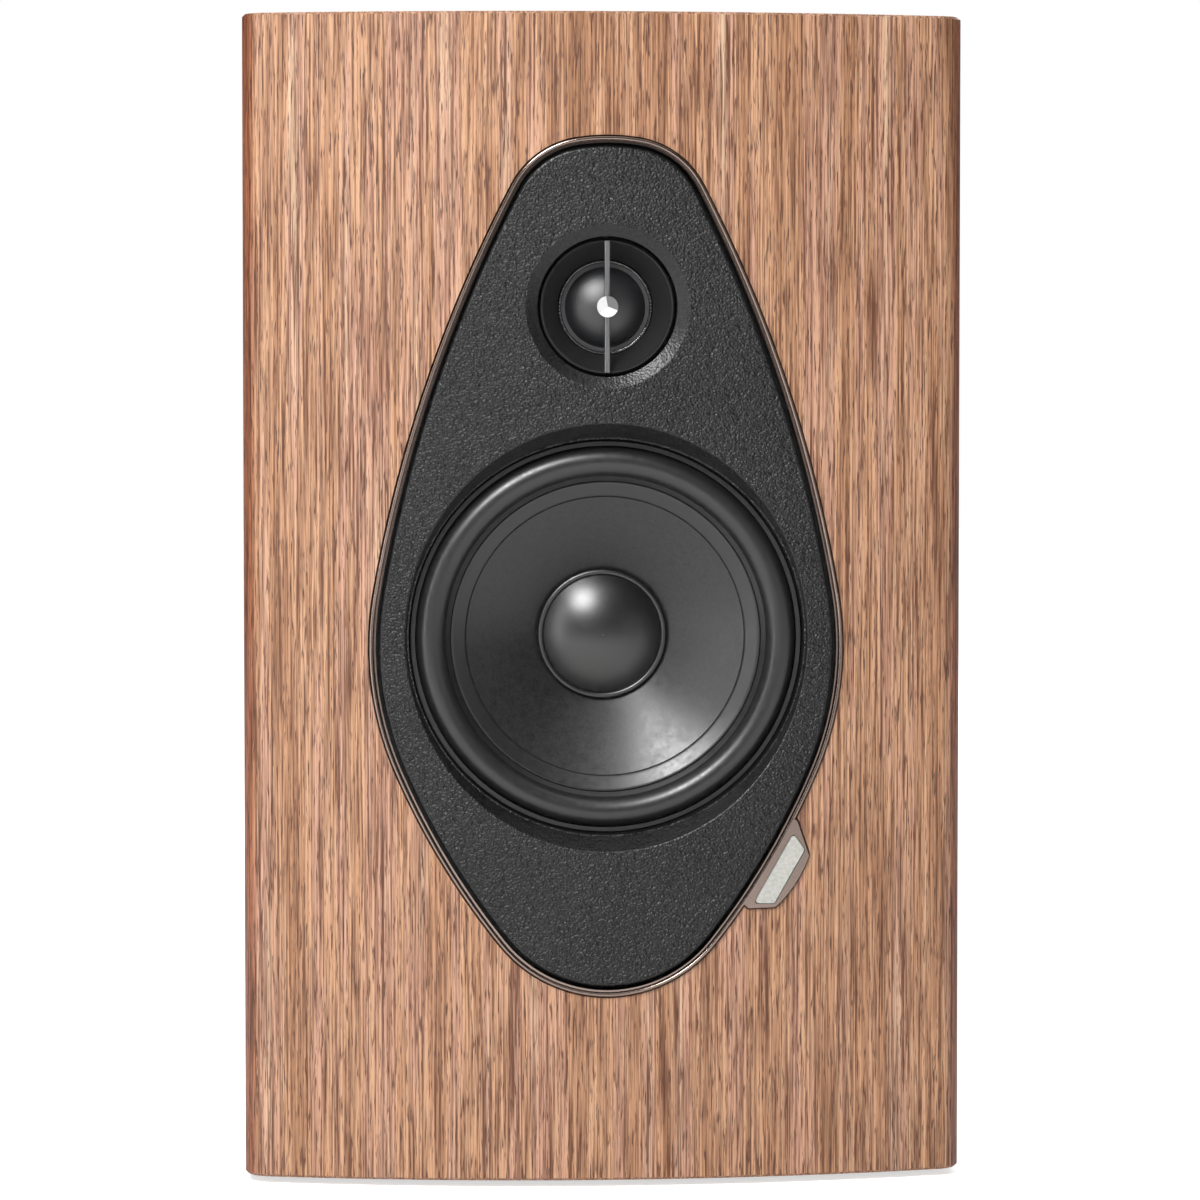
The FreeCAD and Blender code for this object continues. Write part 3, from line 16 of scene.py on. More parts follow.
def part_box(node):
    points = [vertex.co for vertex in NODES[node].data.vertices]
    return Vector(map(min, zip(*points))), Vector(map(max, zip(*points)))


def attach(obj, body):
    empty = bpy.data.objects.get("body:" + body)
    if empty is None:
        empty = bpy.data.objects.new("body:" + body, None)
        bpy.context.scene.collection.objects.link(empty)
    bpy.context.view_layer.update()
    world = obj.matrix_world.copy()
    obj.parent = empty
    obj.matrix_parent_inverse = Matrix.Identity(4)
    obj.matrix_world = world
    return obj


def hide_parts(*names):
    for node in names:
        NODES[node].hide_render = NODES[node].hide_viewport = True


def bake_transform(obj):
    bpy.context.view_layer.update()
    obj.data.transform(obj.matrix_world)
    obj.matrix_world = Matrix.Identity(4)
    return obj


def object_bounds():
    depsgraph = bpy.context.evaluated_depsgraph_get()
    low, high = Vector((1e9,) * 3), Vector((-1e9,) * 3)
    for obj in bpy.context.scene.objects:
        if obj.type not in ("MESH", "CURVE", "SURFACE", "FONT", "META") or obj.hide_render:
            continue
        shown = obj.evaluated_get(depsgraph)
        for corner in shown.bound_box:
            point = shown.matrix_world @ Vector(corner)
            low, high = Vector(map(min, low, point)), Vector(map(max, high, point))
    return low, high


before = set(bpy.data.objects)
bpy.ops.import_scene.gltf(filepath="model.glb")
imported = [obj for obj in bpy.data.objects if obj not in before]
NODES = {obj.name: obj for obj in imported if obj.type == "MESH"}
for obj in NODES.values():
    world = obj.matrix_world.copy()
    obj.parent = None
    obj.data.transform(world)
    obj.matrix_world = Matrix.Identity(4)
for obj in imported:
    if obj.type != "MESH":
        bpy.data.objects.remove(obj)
CAD_LOW, CAD_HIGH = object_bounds()
MM = 0.001
print("pieces in the frame:", len(NODES), "size in mm:", [round(s / MM) for s in CAD_HIGH - CAD_LOW])

# %% [markdown]
# Every finish below is a small node tree, and every pattern has a real size. A few helpers keep that short:
# one turns a screen colour into the linear colour that Blender works with, one adds a node, fills in its
# sockets and settings, and returns it, and one starts a finish from its shader and its coordinates. The
# rest are what nearly every finish has: noise of a real size, two shades, an uneven gloss and a relief.

# %% Helpers for colours and nodes
MIX_FACTOR, MIX_A, MIX_B, MIX_RESULT = 0, 6, 7, 2  # a colour Mix node's sockets, which share their names


def linear(hex_colour):
    """Turns an sRGB hex colour into the linear RGBA that a socket takes."""
    channels = [int(hex_colour[i:i + 2], 16) / 255 for i in (1, 3, 5)]
    return tuple(c / 12.92 if c <= 0.04045 else ((c + 0.055) / 1.055) ** 2.4 for c in channels) + (1.0,)


def add_node(tree, kind, inputs=None, stops=None, **settings):
    """Adds one node. inputs fills or links its sockets, stops are a ramp's colours, settings its options."""
    node = tree.nodes.new(kind)
    for name, value in settings.items():
        setattr(node, name, value)
    for name, value in (inputs or {}).items():
        if isinstance(value, bpy.types.NodeSocket):
            tree.links.new(value, node.inputs[name])
        else:
            node.inputs[name].default_value = value
    if stops:
        points = node.color_ramp.elements
        while len(points) < len(stops):
            points.new(1.0)
        for point, (place, colour) in zip(points, stops):
            point.position = place
            point.color = linear(colour) if isinstance(colour, str) else (colour, colour, colour, 1.0)
    return node


def start_finish(name, colour, roughness, metallic=0.0, **constants):
    """A new material with its shader's own sockets set. Returns material, tree, shader and coordinates."""
    finish = bpy.data.materials.new(name)
    finish.use_nodes = True
    tree = finish.node_tree
    shader = tree.nodes["Principled BSDF"]
    shader.inputs["Base Color"].default_value = linear(colour)
    shader.inputs["Roughness"].default_value = roughness
    shader.inputs["Metallic"].default_value = metallic
    for socket, value in constants.items():
        shader.inputs[socket.replace("_", " ")].default_value = value
    place = add_node(tree, "ShaderNodeTexCoord").outputs["Object"]
    return finish, tree, shader, place


def stretched_noise(tree, place, sizes_mm, detail=2.0, roughness=0.5, warp=0.0):
    """Noise whose blobs measure sizes_mm along x, y and z."""
    scaled = add_node(tree, "ShaderNodeMapping", {
        "Vector": place, "Scale": tuple(1 / (size * MM) for size in sizes_mm)})
    return add_node(tree, "ShaderNodeTexNoise", {
        "Vector": scaled.outputs["Vector"], "Scale": 1.0, "Detail": detail,
        "Roughness": roughness, "Distortion": warp}).outputs["Fac"]


def tint(tree, factor, dark, light, low=0.3, high=0.7):
    """Two shades of one colour, spread by a factor."""
    return add_node(tree, "ShaderNodeValToRGB", {"Fac": factor},
                    stops=[(low, dark), (high, light)]).outputs["Color"]


def uneven_gloss(tree, shader, pattern, low, high):
    """Spreads the shader's roughness from low to high by a pattern."""
    gloss = add_node(tree, "ShaderNodeMapRange", {
        "Value": pattern, "From Min": 0.3, "From Max": 0.7, "To Min": low, "To Max": high})
    tree.links.new(gloss.outputs["Result"], shader.inputs["Roughness"])


def relief(tree, shader, height, depth_mm, strength=1.0):
    """Bumps the shader's surface by a height from 0 to 1 that stands for depth_mm."""
    bump = add_node(tree, "ShaderNodeBump", {
        "Height": height, "Distance": depth_mm * MM, "Strength": strength})
    tree.links.new(bump.outputs["Normal"], shader.inputs["Normal"])


print("white in linear light:", linear("#ffffff"))

# %% [markdown]
# The camera comes first, because every finish is judged through it. A long lens from about one and a half
# metres, a little to the left and slightly above the middle, keeps the cabinet's sides upright and still
# shows that the front is bowed. Depth of field stays off, so every part is sharp.

# %% Camera
CAMERA_DISTANCE = 1.414
CAMERA_HEIGHT = 0.235
CAMERA_LEFT = math.radians(4.0)
CAMERA_LENS = 147.2
CAMERA_AIM = Vector((-0.0024, CAD_LOW.y, 0.1707))

camera = bpy.data.objects.new("camera", bpy.data.cameras.new("camera"))
bpy.context.collection.objects.link(camera)
camera.data.lens = CAMERA_LENS
camera.data.sensor_width = 36.0
camera.location = (-CAMERA_DISTANCE * math.sin(CAMERA_LEFT),
                   CAD_LOW.y - CAMERA_DISTANCE * math.cos(CAMERA_LEFT), CAMERA_HEIGHT)
camera.rotation_euler = (CAMERA_AIM - camera.location).to_track_quat("-Z", "Y").to_euler()
bpy.context.scene.camera = camera
print("camera pitch in degrees:", round(math.degrees(camera.rotation_euler.x) - 90, 2))

# %% [markdown]
# A product studio is a white sweep with one soft main light, high and to the left, a tall strip light
# further left that draws lines down glossy edges, and weaker light from everywhere else. The sweep looks
# white to the camera, but it is flagged so that it throws little light back, which keeps black parts
# black. The colours are shown as they are, without a film curve.

# %% Floor and lights
FLOOR_SIZE = 12.0
ROOM_LIGHT = 0.14
PAPER_GLOW = 0.65
CEILING_LIGHT = 1.0
CEILING_SPREAD = math.radians(70)
LIGHT_AIM = Vector((0.0, -0.05, 0.17))
SOFTBOXES = [  # name, place, width and height in metres, and power in watts
    ("key_light", (-0.6, -1.3, 1.35), 0.65, 0.65, 37.0),
    ("strip_light", (-1.1, -0.9, 0.25), 0.2, 1.2, 4.2),
    ("fill_light", (1.2, -1.4, 0.25), 1.0, 1.0, 1.2),
    ("back_light", (0.9, 1.9, 1.1), 1.0, 1.0, 16.0),
]

scene = bpy.context.scene
scene.view_settings.view_transform = "Standard"
world = bpy.data.worlds.new("studio")
scene.world = world
world.use_nodes = True
room = world.node_tree
lit = room.nodes["Background"]
lit.inputs["Color"].default_value = linear("#ffffff")
lit.inputs["Strength"].default_value = ROOM_LIGHT
seen = add_node(room, "ShaderNodeBackground", {"Color": linear("#ffffff"), "Strength": 1.0})
ray = add_node(room, "ShaderNodeLightPath")
both = add_node(room, "ShaderNodeMixShader", {
    0: ray.outputs["Is Camera Ray"], 1: lit.outputs["Background"], 2: seen.outputs["Background"]})
room.links.new(both.outputs["Shader"], room.nodes["World Output"].inputs["Surface"])

for name, place, width, height, power in SOFTBOXES:
    light = bpy.data.lights.new(name, "AREA")
    light.shape = "RECTANGLE"
    light.size, light.size_y = width, height
    light.energy = power
    softbox = bpy.data.objects.new(name, light)
    bpy.context.collection.objects.link(softbox)
    softbox.location = place
    softbox.rotation_euler = (LIGHT_AIM - softbox.location).to_track_quat("-Z", "Y").to_euler()
ceiling = bpy.data.objects.new("ceiling_light", bpy.data.lights.new("ceiling_light", "SUN"))
ceiling.data.energy = CEILING_LIGHT
ceiling.data.angle = CEILING_SPREAD
bpy.context.collection.objects.link(ceiling)

half = FLOOR_SIZE / 2
floor_mesh = bpy.data.meshes.new("studio_floor")
floor_corners = [(-half, -half, 0), (half, -half, 0), (half, half, 0), (-half, half, 0)]
floor_mesh.from_pydata(floor_corners, [], [(0, 1, 2, 3)])
floor = bpy.data.objects.new("studio_floor", floor_mesh)
bpy.context.collection.objects.link(floor)
paper, paper_tree, paper_shader, paper_place = start_finish("backdrop_paper", "#f7f7f6", 0.9)
fibres = stretched_noise(paper_tree, paper_place, (2.0, 2.0, 2.0))
paper_tree.links.new(tint(paper_tree, fibres, "#f4f4f3", "#fafaf9"), paper_shader.inputs["Base Color"])
paper_shader.inputs["Emission Color"].default_value = linear("#ffffff")
watched = add_node(paper_tree, "ShaderNodeLightPath").outputs["Is Camera Ray"]
glow = add_node(paper_tree, "ShaderNodeMath", {0: watched, 1: PAPER_GLOW}, operation="MULTIPLY")
paper_tree.links.new(glow.outputs["Value"], paper_shader.inputs["Emission Strength"])
floor_mesh.materials.append(paper)

# %% [markdown]
# The cabinet is faced with straight-grained walnut veneer under a thin satin lacquer. Veneer cut on the
# quarter shows narrow stripes, fine fibres and short dark pores, all running up the cabinet. One solid
# pattern, stretched along the grain, gives all three, and it turns each corner without a seam. Real pores
# are about 0.2 mm wide, too fine to show from the camera, so they are drawn at 0.5 mm. The walnut is sliced
# about 0.6 mm thick. Where the sheet bends round a front corner, a soft band of painted shade darkens it.

# %% Walnut veneer
STRIPE_MM, FIBRE_MM, PORE_MM = (6.0, 260.0), (0.65, 40.0), (0.5, 9.0)  # width, and length along the grain
PORE_DEPTH_MM = 0.06
# Where the painted shade at the front corners lies: across from the middle, and back along the side.
CORNER_START, CORNER_END = 0.1005, 0.1035  # where the sheet starts and ends its bend, from the middle
FRONT_BAND_START, FRONT_BAND_END = CAD_LOW.y + 0.022, CAD_LOW.y + 0.036  # the bend's reach along the side
CORNER_PAINTED_SHADE = 0.75  # how strongly the wood darkens where it bends


def painted_corner_shade(tree, place):
    """Painted shade: 1 where the sheet bends round a front corner, fading to 0 on the flats and further back.
    """
    sides = add_node(tree, "ShaderNodeSeparateXYZ", {"Vector": place})
    aside = add_node(tree, "ShaderNodeMath", {0: sides.outputs["X"]}, operation="ABSOLUTE")
    corner_shade_ramp = add_node(tree, "ShaderNodeMapRange", {
        "Value": aside.outputs["Value"], "From Min": CORNER_START, "From Max": CORNER_END,
        "To Max": CORNER_PAINTED_SHADE}, interpolation_type="SMOOTHSTEP")
    near_front = add_node(tree, "ShaderNodeMapRange", {
        "Value": sides.outputs["Y"], "From Min": FRONT_BAND_END, "From Max": FRONT_BAND_START},
        interpolation_type="SMOOTHSTEP")
    return add_node(tree, "ShaderNodeMath", {
        0: corner_shade_ramp.outputs["Result"], 1: near_front.outputs["Result"]}, operation="MULTIPLY").outputs["Value"]


def walnut_veneer(name, grain_axis):
    """Quarter-cut walnut with its grain along one axis (1 is y, 2 is z)."""
    finish, tree, shader, place = start_finish(name, "#c0936f", 0.42)
    shader.inputs["IOR"].default_value = 1.5

    def along(across_mm, length_mm):
        sizes = [across_mm] * 3
        sizes[grain_axis] = length_mm
        return sizes

    stripes = stretched_noise(tree, place, along(*STRIPE_MM), detail=3.0, roughness=0.6, warp=0.35)
    warm = add_node(tree, "ShaderNodeValToRGB", {"Fac": stripes}, stops=[
        (0.3, "#a27654"), (0.42, "#b68867"), (0.5, "#c39876"), (0.58, "#bd9078"), (0.7, "#ccab8c")])
    fibres = stretched_noise(tree, place, along(*FIBRE_MM), detail=3.0, roughness=0.7, warp=0.2)
    shade = tint(tree, fibres, "#7d5f4b", "#ffffff", 0.36, 0.6)
    grained = add_node(tree, "ShaderNodeMix", {
        MIX_FACTOR: 1.0, MIX_A: warm.outputs["Color"], MIX_B: shade},
        data_type="RGBA", blend_type="MULTIPLY")
    pores = stretched_noise(tree, place, along(*PORE_MM), detail=2.0, roughness=0.75)
    open_pores = add_node(tree, "ShaderNodeMapRange", {
        "Value": pores, "From Min": 0.52, "From Max": 0.66, "To Max": 0.95}, interpolation_type="SMOOTHSTEP")
    pored = add_node(tree, "ShaderNodeMix", {
        MIX_FACTOR: open_pores.outputs["Result"], MIX_A: grained.outputs[MIX_RESULT],
        MIX_B: linear("#4f2c1d")}, data_type="RGBA")
    # Painted shade: the wood is darkened where it turns round the front corners.
    corner_shaded_wood = add_node(tree, "ShaderNodeMix", {
        MIX_FACTOR: painted_corner_shade(tree, place), MIX_A: pored.outputs[MIX_RESULT],
        MIX_B: linear("#b9753f")}, data_type="RGBA", blend_type="MULTIPLY")
    tree.links.new(corner_shaded_wood.outputs[MIX_RESULT], shader.inputs["Base Color"])
    uneven_gloss(tree, shader, pores, 0.38, 0.56)
    relief(tree, shader, pores, -PORE_DEPTH_MM, 0.5)
    return finish


upright_walnut = walnut_veneer("walnut_veneer_upright", 2)
lengthwise_walnut = walnut_veneer("walnut_veneer_lengthwise", 1)
print("veneer pores drawn", PORE_MM[0], "mm wide and", PORE_MM[1], "mm long")

# %% [markdown]
# The panel behind the drivers is covered with leather: hide, dyed black and embossed with a fine pebble
# grain, then sealed with a satin finish. The real grain is about half a millimetre, with pebbles of uneven
# size that touch each other. Cells from a Voronoi pattern are such pebbles, and noise adds the wider folds.
# Where the hide is stretched over an edge or into a bevel its grain is pulled flat and shines more, so the
# relief fades and the gloss rises as the surface turns away from the front.

# %% Pebbled leather
PEBBLE_MM = 0.62  # drawn a little coarser than the real grain, so that it shows from where the camera is


def pebbled_leather():
    """Black hide with touching pebbles, flat and glossier where it is stretched."""
    finish, tree, shader, place = start_finish("pebbled_leather", "#1f1f20", 0.4)
    shader.inputs["IOR"].default_value = 1.45
    scaled = add_node(tree, "ShaderNodeMapping", {"Vector": place, "Scale": (1 / (PEBBLE_MM * MM),) * 3})
    pebbles = add_node(tree, "ShaderNodeTexVoronoi", {
        "Vector": scaled.outputs["Vector"], "Scale": 1.0, "Randomness": 1.0}, feature="SMOOTH_F1")
    folds = stretched_noise(tree, place, (2.0, 2.0, 2.0), detail=3.0, roughness=0.6)
    wear = stretched_noise(tree, place, (22.0, 22.0, 22.0), detail=2.0)
    dye = tint(tree, wear, "#151516", "#1c1c1d", 0.35, 0.65)
    # Painted shade and highlight: the colour darkens in the creases between pebbles and lightens on their
    # tops.
    crease_shade_and_pebble_highlight = add_node(tree, "ShaderNodeMapRange", {
        "Value": pebbles.outputs["Distance"], "From Min": 0.2, "From Max": 0.7,
        "To Min": 1.3, "To Max": 0.2})
    coloured = add_node(tree, "ShaderNodeMix", {
        MIX_FACTOR: 1.0, MIX_A: dye, MIX_B: crease_shade_and_pebble_highlight.outputs["Result"]},
        data_type="RGBA", blend_type="MULTIPLY")
    tree.links.new(coloured.outputs[MIX_RESULT], shader.inputs["Base Color"])
    height = add_node(tree, "ShaderNodeMath", {
        0: pebbles.outputs["Distance"], 1: -0.7, 2: folds}, operation="MULTIPLY_ADD")
    facing = add_node(tree, "ShaderNodeSeparateXYZ", {
        "Vector": add_node(tree, "ShaderNodeNewGeometry").outputs["Normal"]})
    forward = add_node(tree, "ShaderNodeMath", {0: facing.outputs["Y"]}, operation="ABSOLUTE")
    unstretched = add_node(tree, "ShaderNodeMapRange", {
        "Value": forward.outputs["Value"], "From Min": 0.9, "From Max": 0.97, "To Min": 0.25})
    shine = add_node(tree, "ShaderNodeMapRange", {
        "Value": unstretched.outputs["Result"], "From Min": 0.25, "To Min": 0.34, "To Max": 0.4})
    tree.links.new(shine.outputs["Result"], shader.inputs["Roughness"])
    relief(tree, shader, height.outputs["Value"], 0.8, unstretched.outputs["Result"])
    return finish


leather = pebbled_leather()
print("leather pebbles drawn", PEBBLE_MM, "mm wide")

# %% [markdown]
# Metals come next. The slim frame round the leather is die-cast zinc with a brown-grey electroplated
# finish, gunmetal, polished but not mirror bright. The bar across the tweeter is satin aluminium, and the
# small cap on it is the same metal turned on a lathe and polished. Plated or turned metal is fully
# metallic, so its colour shows only in what it reflects, and fine turning marks stretch each highlight.
# Real polishing marks are a few hundredths of a millimetre, so they are drawn ten times coarser to show.

# %% Metals
def plain_metal(name, colour, roughness, grit_mm=0.5, spread=0.08, scratch_axis=None, depth_mm=0.004):
    """A metal with roughness that varies a little, and brushing marks if scratch_axis is 0, 1 or 2."""
    finish, tree, shader, place = start_finish(name, colour, roughness, 1.0)
    sizes = [grit_mm] * 3
    if scratch_axis is not None:
        sizes[scratch_axis] = grit_mm * 40
    marks = stretched_noise(tree, place, sizes, detail=3.0, roughness=0.6)
    uneven_gloss(tree, shader, marks, roughness - spread, roughness + spread)
    relief(tree, shader, marks, depth_mm, 0.5)
    return finish


# Plated over polished zinc: sharp bright lines on a warm dark ground.
gunmetal = plain_metal("gunmetal_plating", "#8f7f77", 0.16, grit_mm=0.8, spread=0.03)
# Brushed along its length: an even grey with a long soft highlight.
satin_aluminium = plain_metal("satin_aluminium", "#929396", 0.36, grit_mm=0.12, scratch_axis=2)
# Turned and polished: pale, so that it looks white where it faces the light.
turned_aluminium = plain_metal("turned_aluminium", "#e6e6e6", 0.32, grit_mm=0.2, spread=0.05)
# Zinc dipped: blue grey with broad cloudy patches.
zinc_steel = plain_metal("zinc_plated_steel", "#b9bcc0", 0.36, grit_mm=1.2)
# Cast in a mould and thinly sprayed: dark, with a slightly pitted skin.
cast_aluminium = plain_metal("painted_cast_aluminium", "#2b2c2e", 0.55, grit_mm=0.7, depth_mm=0.05)
# Bright nickel and a flash of gold over it: the warm and the warmer glint of connectors.
nickel = plain_metal("nickel_plating", "#c9c6bd", 0.24, grit_mm=0.4)
gold_flash = plain_metal("gold_flash", "#d9a94e", 0.26, grit_mm=0.4)
# Drawn wire under clear enamel, wound side by side: red brown with fine lines.
copper_wire = plain_metal("enamelled_copper", "#a4552c", 0.3, grit_mm=0.3, scratch_axis=0)
print("metals:", [m.name for m in bpy.data.materials
                  if m.node_tree.nodes["Principled BSDF"].inputs["Metallic"].default_value == 1])

# %% [markdown]
# Most of the dark parts are moulded or pressed: rubber, plastic, paper pulp, cloth and lacquer. Each is
# nearly the same black, and the eye tells them apart by gloss and by texture: rubber is smooth with a
# wide soft highlight, moulded plastic has a fine spark texture, pulp is mottled and matt, silk coated with
# damping varnish is shiny with a tiny weave. One function makes the plain ones from grain size and depth.
# Spark texture and blasting grit are near 0.1 mm, so they are drawn three or four times coarser to show.

# %% Moulded, painted and pressed finishes
def mottled(name, dark, light, roughness, blob_mm, depth_mm=0.02, spread=0.06, detail=3.0, **constants):
    """A non-metal whose colour and gloss vary in blobs of one size, with a relief of the same blobs."""
    finish, tree, shader, place = start_finish(name, dark, roughness, **constants)
    blobs = stretched_noise(tree, place, (blob_mm,) * 3, detail=detail, roughness=0.6)
    tree.links.new(tint(tree, blobs, dark, light), shader.inputs["Base Color"])
    uneven_gloss(tree, shader, blobs, roughness - spread, roughness + spread)
    relief(tree, shader, blobs, depth_mm, 0.6)
    return finish


# Moulded smooth: a wide soft highlight along each roll. The feet are rougher and have none.
soft_rubber = mottled("butyl_rubber", "#19191a", "#1e1e1f", 0.36, 1.5, 0.006, IOR=1.62)
foot_rubber = mottled("foot_rubber", "#1a1a1b", "#232324", 0.7, 0.8, 0.03)
# Moulded against a spark-eroded tool: a fine even grain and a satin sheen.
moulded_black = mottled("moulded_abs", "#141415", "#1b1b1c", 0.42, 0.45, 0.012, IOR=1.53)
# Sprayed: nearly smooth, with a faint ripple in the highlight.
satin_black = mottled("satin_lacquer", "#17171a", "#1d1d20", 0.38, 1.2, 0.01)
# Blasted, then anodised: a frosted dark grey. The screws are oiled black oxide, a little more uneven.
anodised = mottled("bead_blasted_anodising", "#1b1c1f", "#242529", 0.44, 0.35, 0.02)
blackened_steel = mottled("blackened_steel", "#1c1c1e", "#2a2a2c", 0.4, 0.5, 0.01)
# Printed over copper: a glossy green with slow waves.
circuit_board = mottled("solder_mask_green", "#12402a", "#1b5236", 0.35, 6.0, 0.02)
# Fired from powder: a dull, gritty near-black.
ferrite = mottled("sintered_ferrite", "#2b2a2b", "#39383a", 0.62, 0.9, 0.03)
# Pressed from wood fibre: matt and speckled, with no shine at all.
raw_board = mottled("fibreboard", "#a3835c", "#b8976c", 0.85, 0.8, 0.05)
# Matted wool: deep fuzzy grain that swallows light.
felt = mottled("wadding_felt", "#5c5d60", "#7d7e80", 0.95, 0.7, 0.3)
# Extruded vinyl, and a rolled sheet of glass fibre and resin: plain and smooth.
wire_jacket = mottled("wire_jacket", "#8d1c1a", "#a02421", 0.45, 2.0, 0.01)
former_sheet = mottled("coil_former_sheet", "#8c7a4a", "#a08c58", 0.5, 1.0, 0.01)
print("materials so far:", len(bpy.data.materials))

# %% [markdown]
# The woofer's cone is pressed from paper pulp with a thin damping coat. Its fibres clot a little, so it is
# mottled in clots of two or three millimetres with finer fibres over them, and the coat gives it a broad
# sheen where light grazes it. The dust cap is the same pulp, polished and lacquered, so it has one bright
# soft highlight. Its IOR is set above a plain lacquer's to match how bright that highlight is.

# %% Cone and dust cap
CLOT_MM, PULP_FIBRE_MM = 2.4, 0.7


def pressed_pulp():
    """Coated paper pulp, mottled at two sizes."""
    finish, tree, shader, place = start_finish("pressed_paper_pulp", "#1f1f20", 0.5, IOR=1.58)
    clots = stretched_noise(tree, place, (CLOT_MM,) * 3, detail=4.0, roughness=0.65)
    fibres = stretched_noise(tree, place, (PULP_FIBRE_MM,) * 3, detail=2.0)
    both_sizes = add_node(tree, "ShaderNodeMath", {0: clots, 1: 0.65, 2: fibres}, operation="MULTIPLY_ADD")
    tree.links.new(tint(tree, both_sizes.outputs["Value"], "#131314", "#252526", 0.55, 1.05),
                   shader.inputs["Base Color"])
    uneven_gloss(tree, shader, clots, 0.3, 0.42)
    relief(tree, shader, fibres, 0.012, 0.6)
    return finish


paper_pulp = pressed_pulp()
cap_lacquer = mottled("lacquered_pulp", "#0a0a0b", "#0d0d0e", 0.35, 1.2, 0.003, spread=0.02, IOR=1.78)
print("cone clots drawn", CLOT_MM, "mm wide")

# %% [markdown]
# The tweeter's dome is woven silk, pressed to shape and varnished. Threads about 0.2 mm apart are too fine
# to show from here, so the weave is drawn at twice that. It is two sets of waves at right angles,
# multiplied. Each thread's bright spot is partly painted, as a painted highlight on its raised top and
# painted shade in the hollows, and partly a real gloss, which the varnish's raised IOR strengthens. The
# spider is the same idea in cotton.

# %% Woven cloth
SLUB_MM = 0.9  # the uneven thick places in a thread


def woven(name, colour, thread_mm, roughness, depth_mm, **constants):
    """Cloth of threads that cross at right angles, thread_mm apart, with painted highlight and shade."""
    finish, tree, shader, place = start_finish(name, colour, roughness, **constants)
    scaled = add_node(tree, "ShaderNodeMapping", {
        "Vector": place, "Scale": (math.pi / (thread_mm * MM),) * 3})
    parts = add_node(tree, "ShaderNodeSeparateXYZ", {"Vector": scaled.outputs["Vector"]})
    warp = add_node(tree, "ShaderNodeMath", {0: parts.outputs["X"]}, operation="SINE")
    weft = add_node(tree, "ShaderNodeMath", {0: parts.outputs["Z"]}, operation="SINE")
    crossing = add_node(tree, "ShaderNodeMath", {
        0: warp.outputs["Value"], 1: weft.outputs["Value"]}, operation="MULTIPLY")
    slubs = stretched_noise(tree, place, (SLUB_MM,) * 3)
    height = add_node(tree, "ShaderNodeMath", {
        0: crossing.outputs["Value"], 1: 0.5, 2: slubs}, operation="MULTIPLY_ADD")
    relief(tree, shader, height.outputs["Value"], depth_mm, 0.8)
    # Painted highlight and shade: the colour is lighter on raised threads and darker in the hollows between
    # them.
    shade = add_node(tree, "ShaderNodeMapRange", {
        "Value": height.outputs["Value"], "From Min": 0.0, "From Max": 1.0, "To Min": 0.6, "To Max": 1.2})
    coloured = add_node(tree, "ShaderNodeMix", {
        MIX_FACTOR: 1.0, MIX_A: linear(colour), MIX_B: shade.outputs["Result"]},
        data_type="RGBA", blend_type="MULTIPLY")
    tree.links.new(coloured.outputs[MIX_RESULT], shader.inputs["Base Color"])
    return finish


SILK_THREAD_MM, COTTON_THREAD_MM = 0.4, 0.7
varnished_silk = woven("varnished_silk", "#17171a", SILK_THREAD_MM, 0.38, 0.06, IOR=1.78)
resin_cotton = woven("resin_dipped_cotton", "#b58a3f", COTTON_THREAD_MM, 0.7, 0.1)
print("threads drawn", SILK_THREAD_MM, "and", COTTON_THREAD_MM, "mm apart")

# %% [markdown]
# The status light shines through a white diffuser, moulded from milky acrylic. Light enters it, scatters
# and comes out softly, so it looks brighter than paint. It is off here, so it only needs a pale colour,
# a little subsurface scattering and a soft gloss.

# %% Diffuser
HAZE_MM = 0.9
LENS_COLOUR = "#b3b2ad"

lens_finish, lens_tree, lens_shader, lens_place = start_finish(
    "milky_acrylic", LENS_COLOUR, 0.35, IOR=1.49, Subsurface_Weight=0.25, Subsurface_Scale=2 * MM)
lens_haze = stretched_noise(lens_tree, lens_place, (HAZE_MM,) * 3)
lens_tree.links.new(tint(lens_tree, lens_haze, "#a8a7a1", "#bcbbb6"), lens_shader.inputs["Base Color"])
relief(lens_tree, lens_shader, lens_haze, 0.02, 0.5)
print("diffuser colour:", [round(c, 2) for c in linear(LENS_COLOUR)])

# %% [markdown]
# Each carried-over piece now gets its finish. The record already says which finish a piece has by the name
# of its slot, so one table from slot to finish dresses nearly all of them. The few that share a slot but
# differ on the real thing, such as the top sheet whose grain runs front to back, are named after it.

# %% Dress the pieces
FINISHES = {
    "walnut_veneer": upright_walnut, "black_lacquer": satin_black, "raw_board": raw_board, "felt": felt,
    "zinc_steel": zinc_steel, "black_screws": blackened_steel, "black_leather": leather,
    "gunmetal_trim": gunmetal, "milky_lens": lens_finish, "circuit_board": circuit_board,
    "cast_aluminium": cast_aluminium, "black_rubber": soft_rubber, "paper_cone": paper_pulp,
    "satin_cap": cap_lacquer, "coil_copper": copper_wire, "coil_former": former_sheet,
    "treated_cloth": varnished_silk, "ferrite": ferrite, "black_plastic": moulded_black,
    "satin_metal_bar": satin_aluminium, "polished_metal": turned_aluminium, "anodised_black": anodised,
    "plated_socket": nickel, "wire_insulation": wire_jacket,
}
OWN_FINISH = {
    "top_panel": lengthwise_walnut, "bottom_panel": lengthwise_walnut, "rubber_feet": foot_rubber,
    "woofer_spider": resin_cotton,
}
for name, node in NODES.items():
    for slot in node.material_slots:
        slot.material = OWN_FINISH.get(name) or FINISHES[slot.material.name.split(".")[0]]
print("dressed", len(NODES), "pieces")

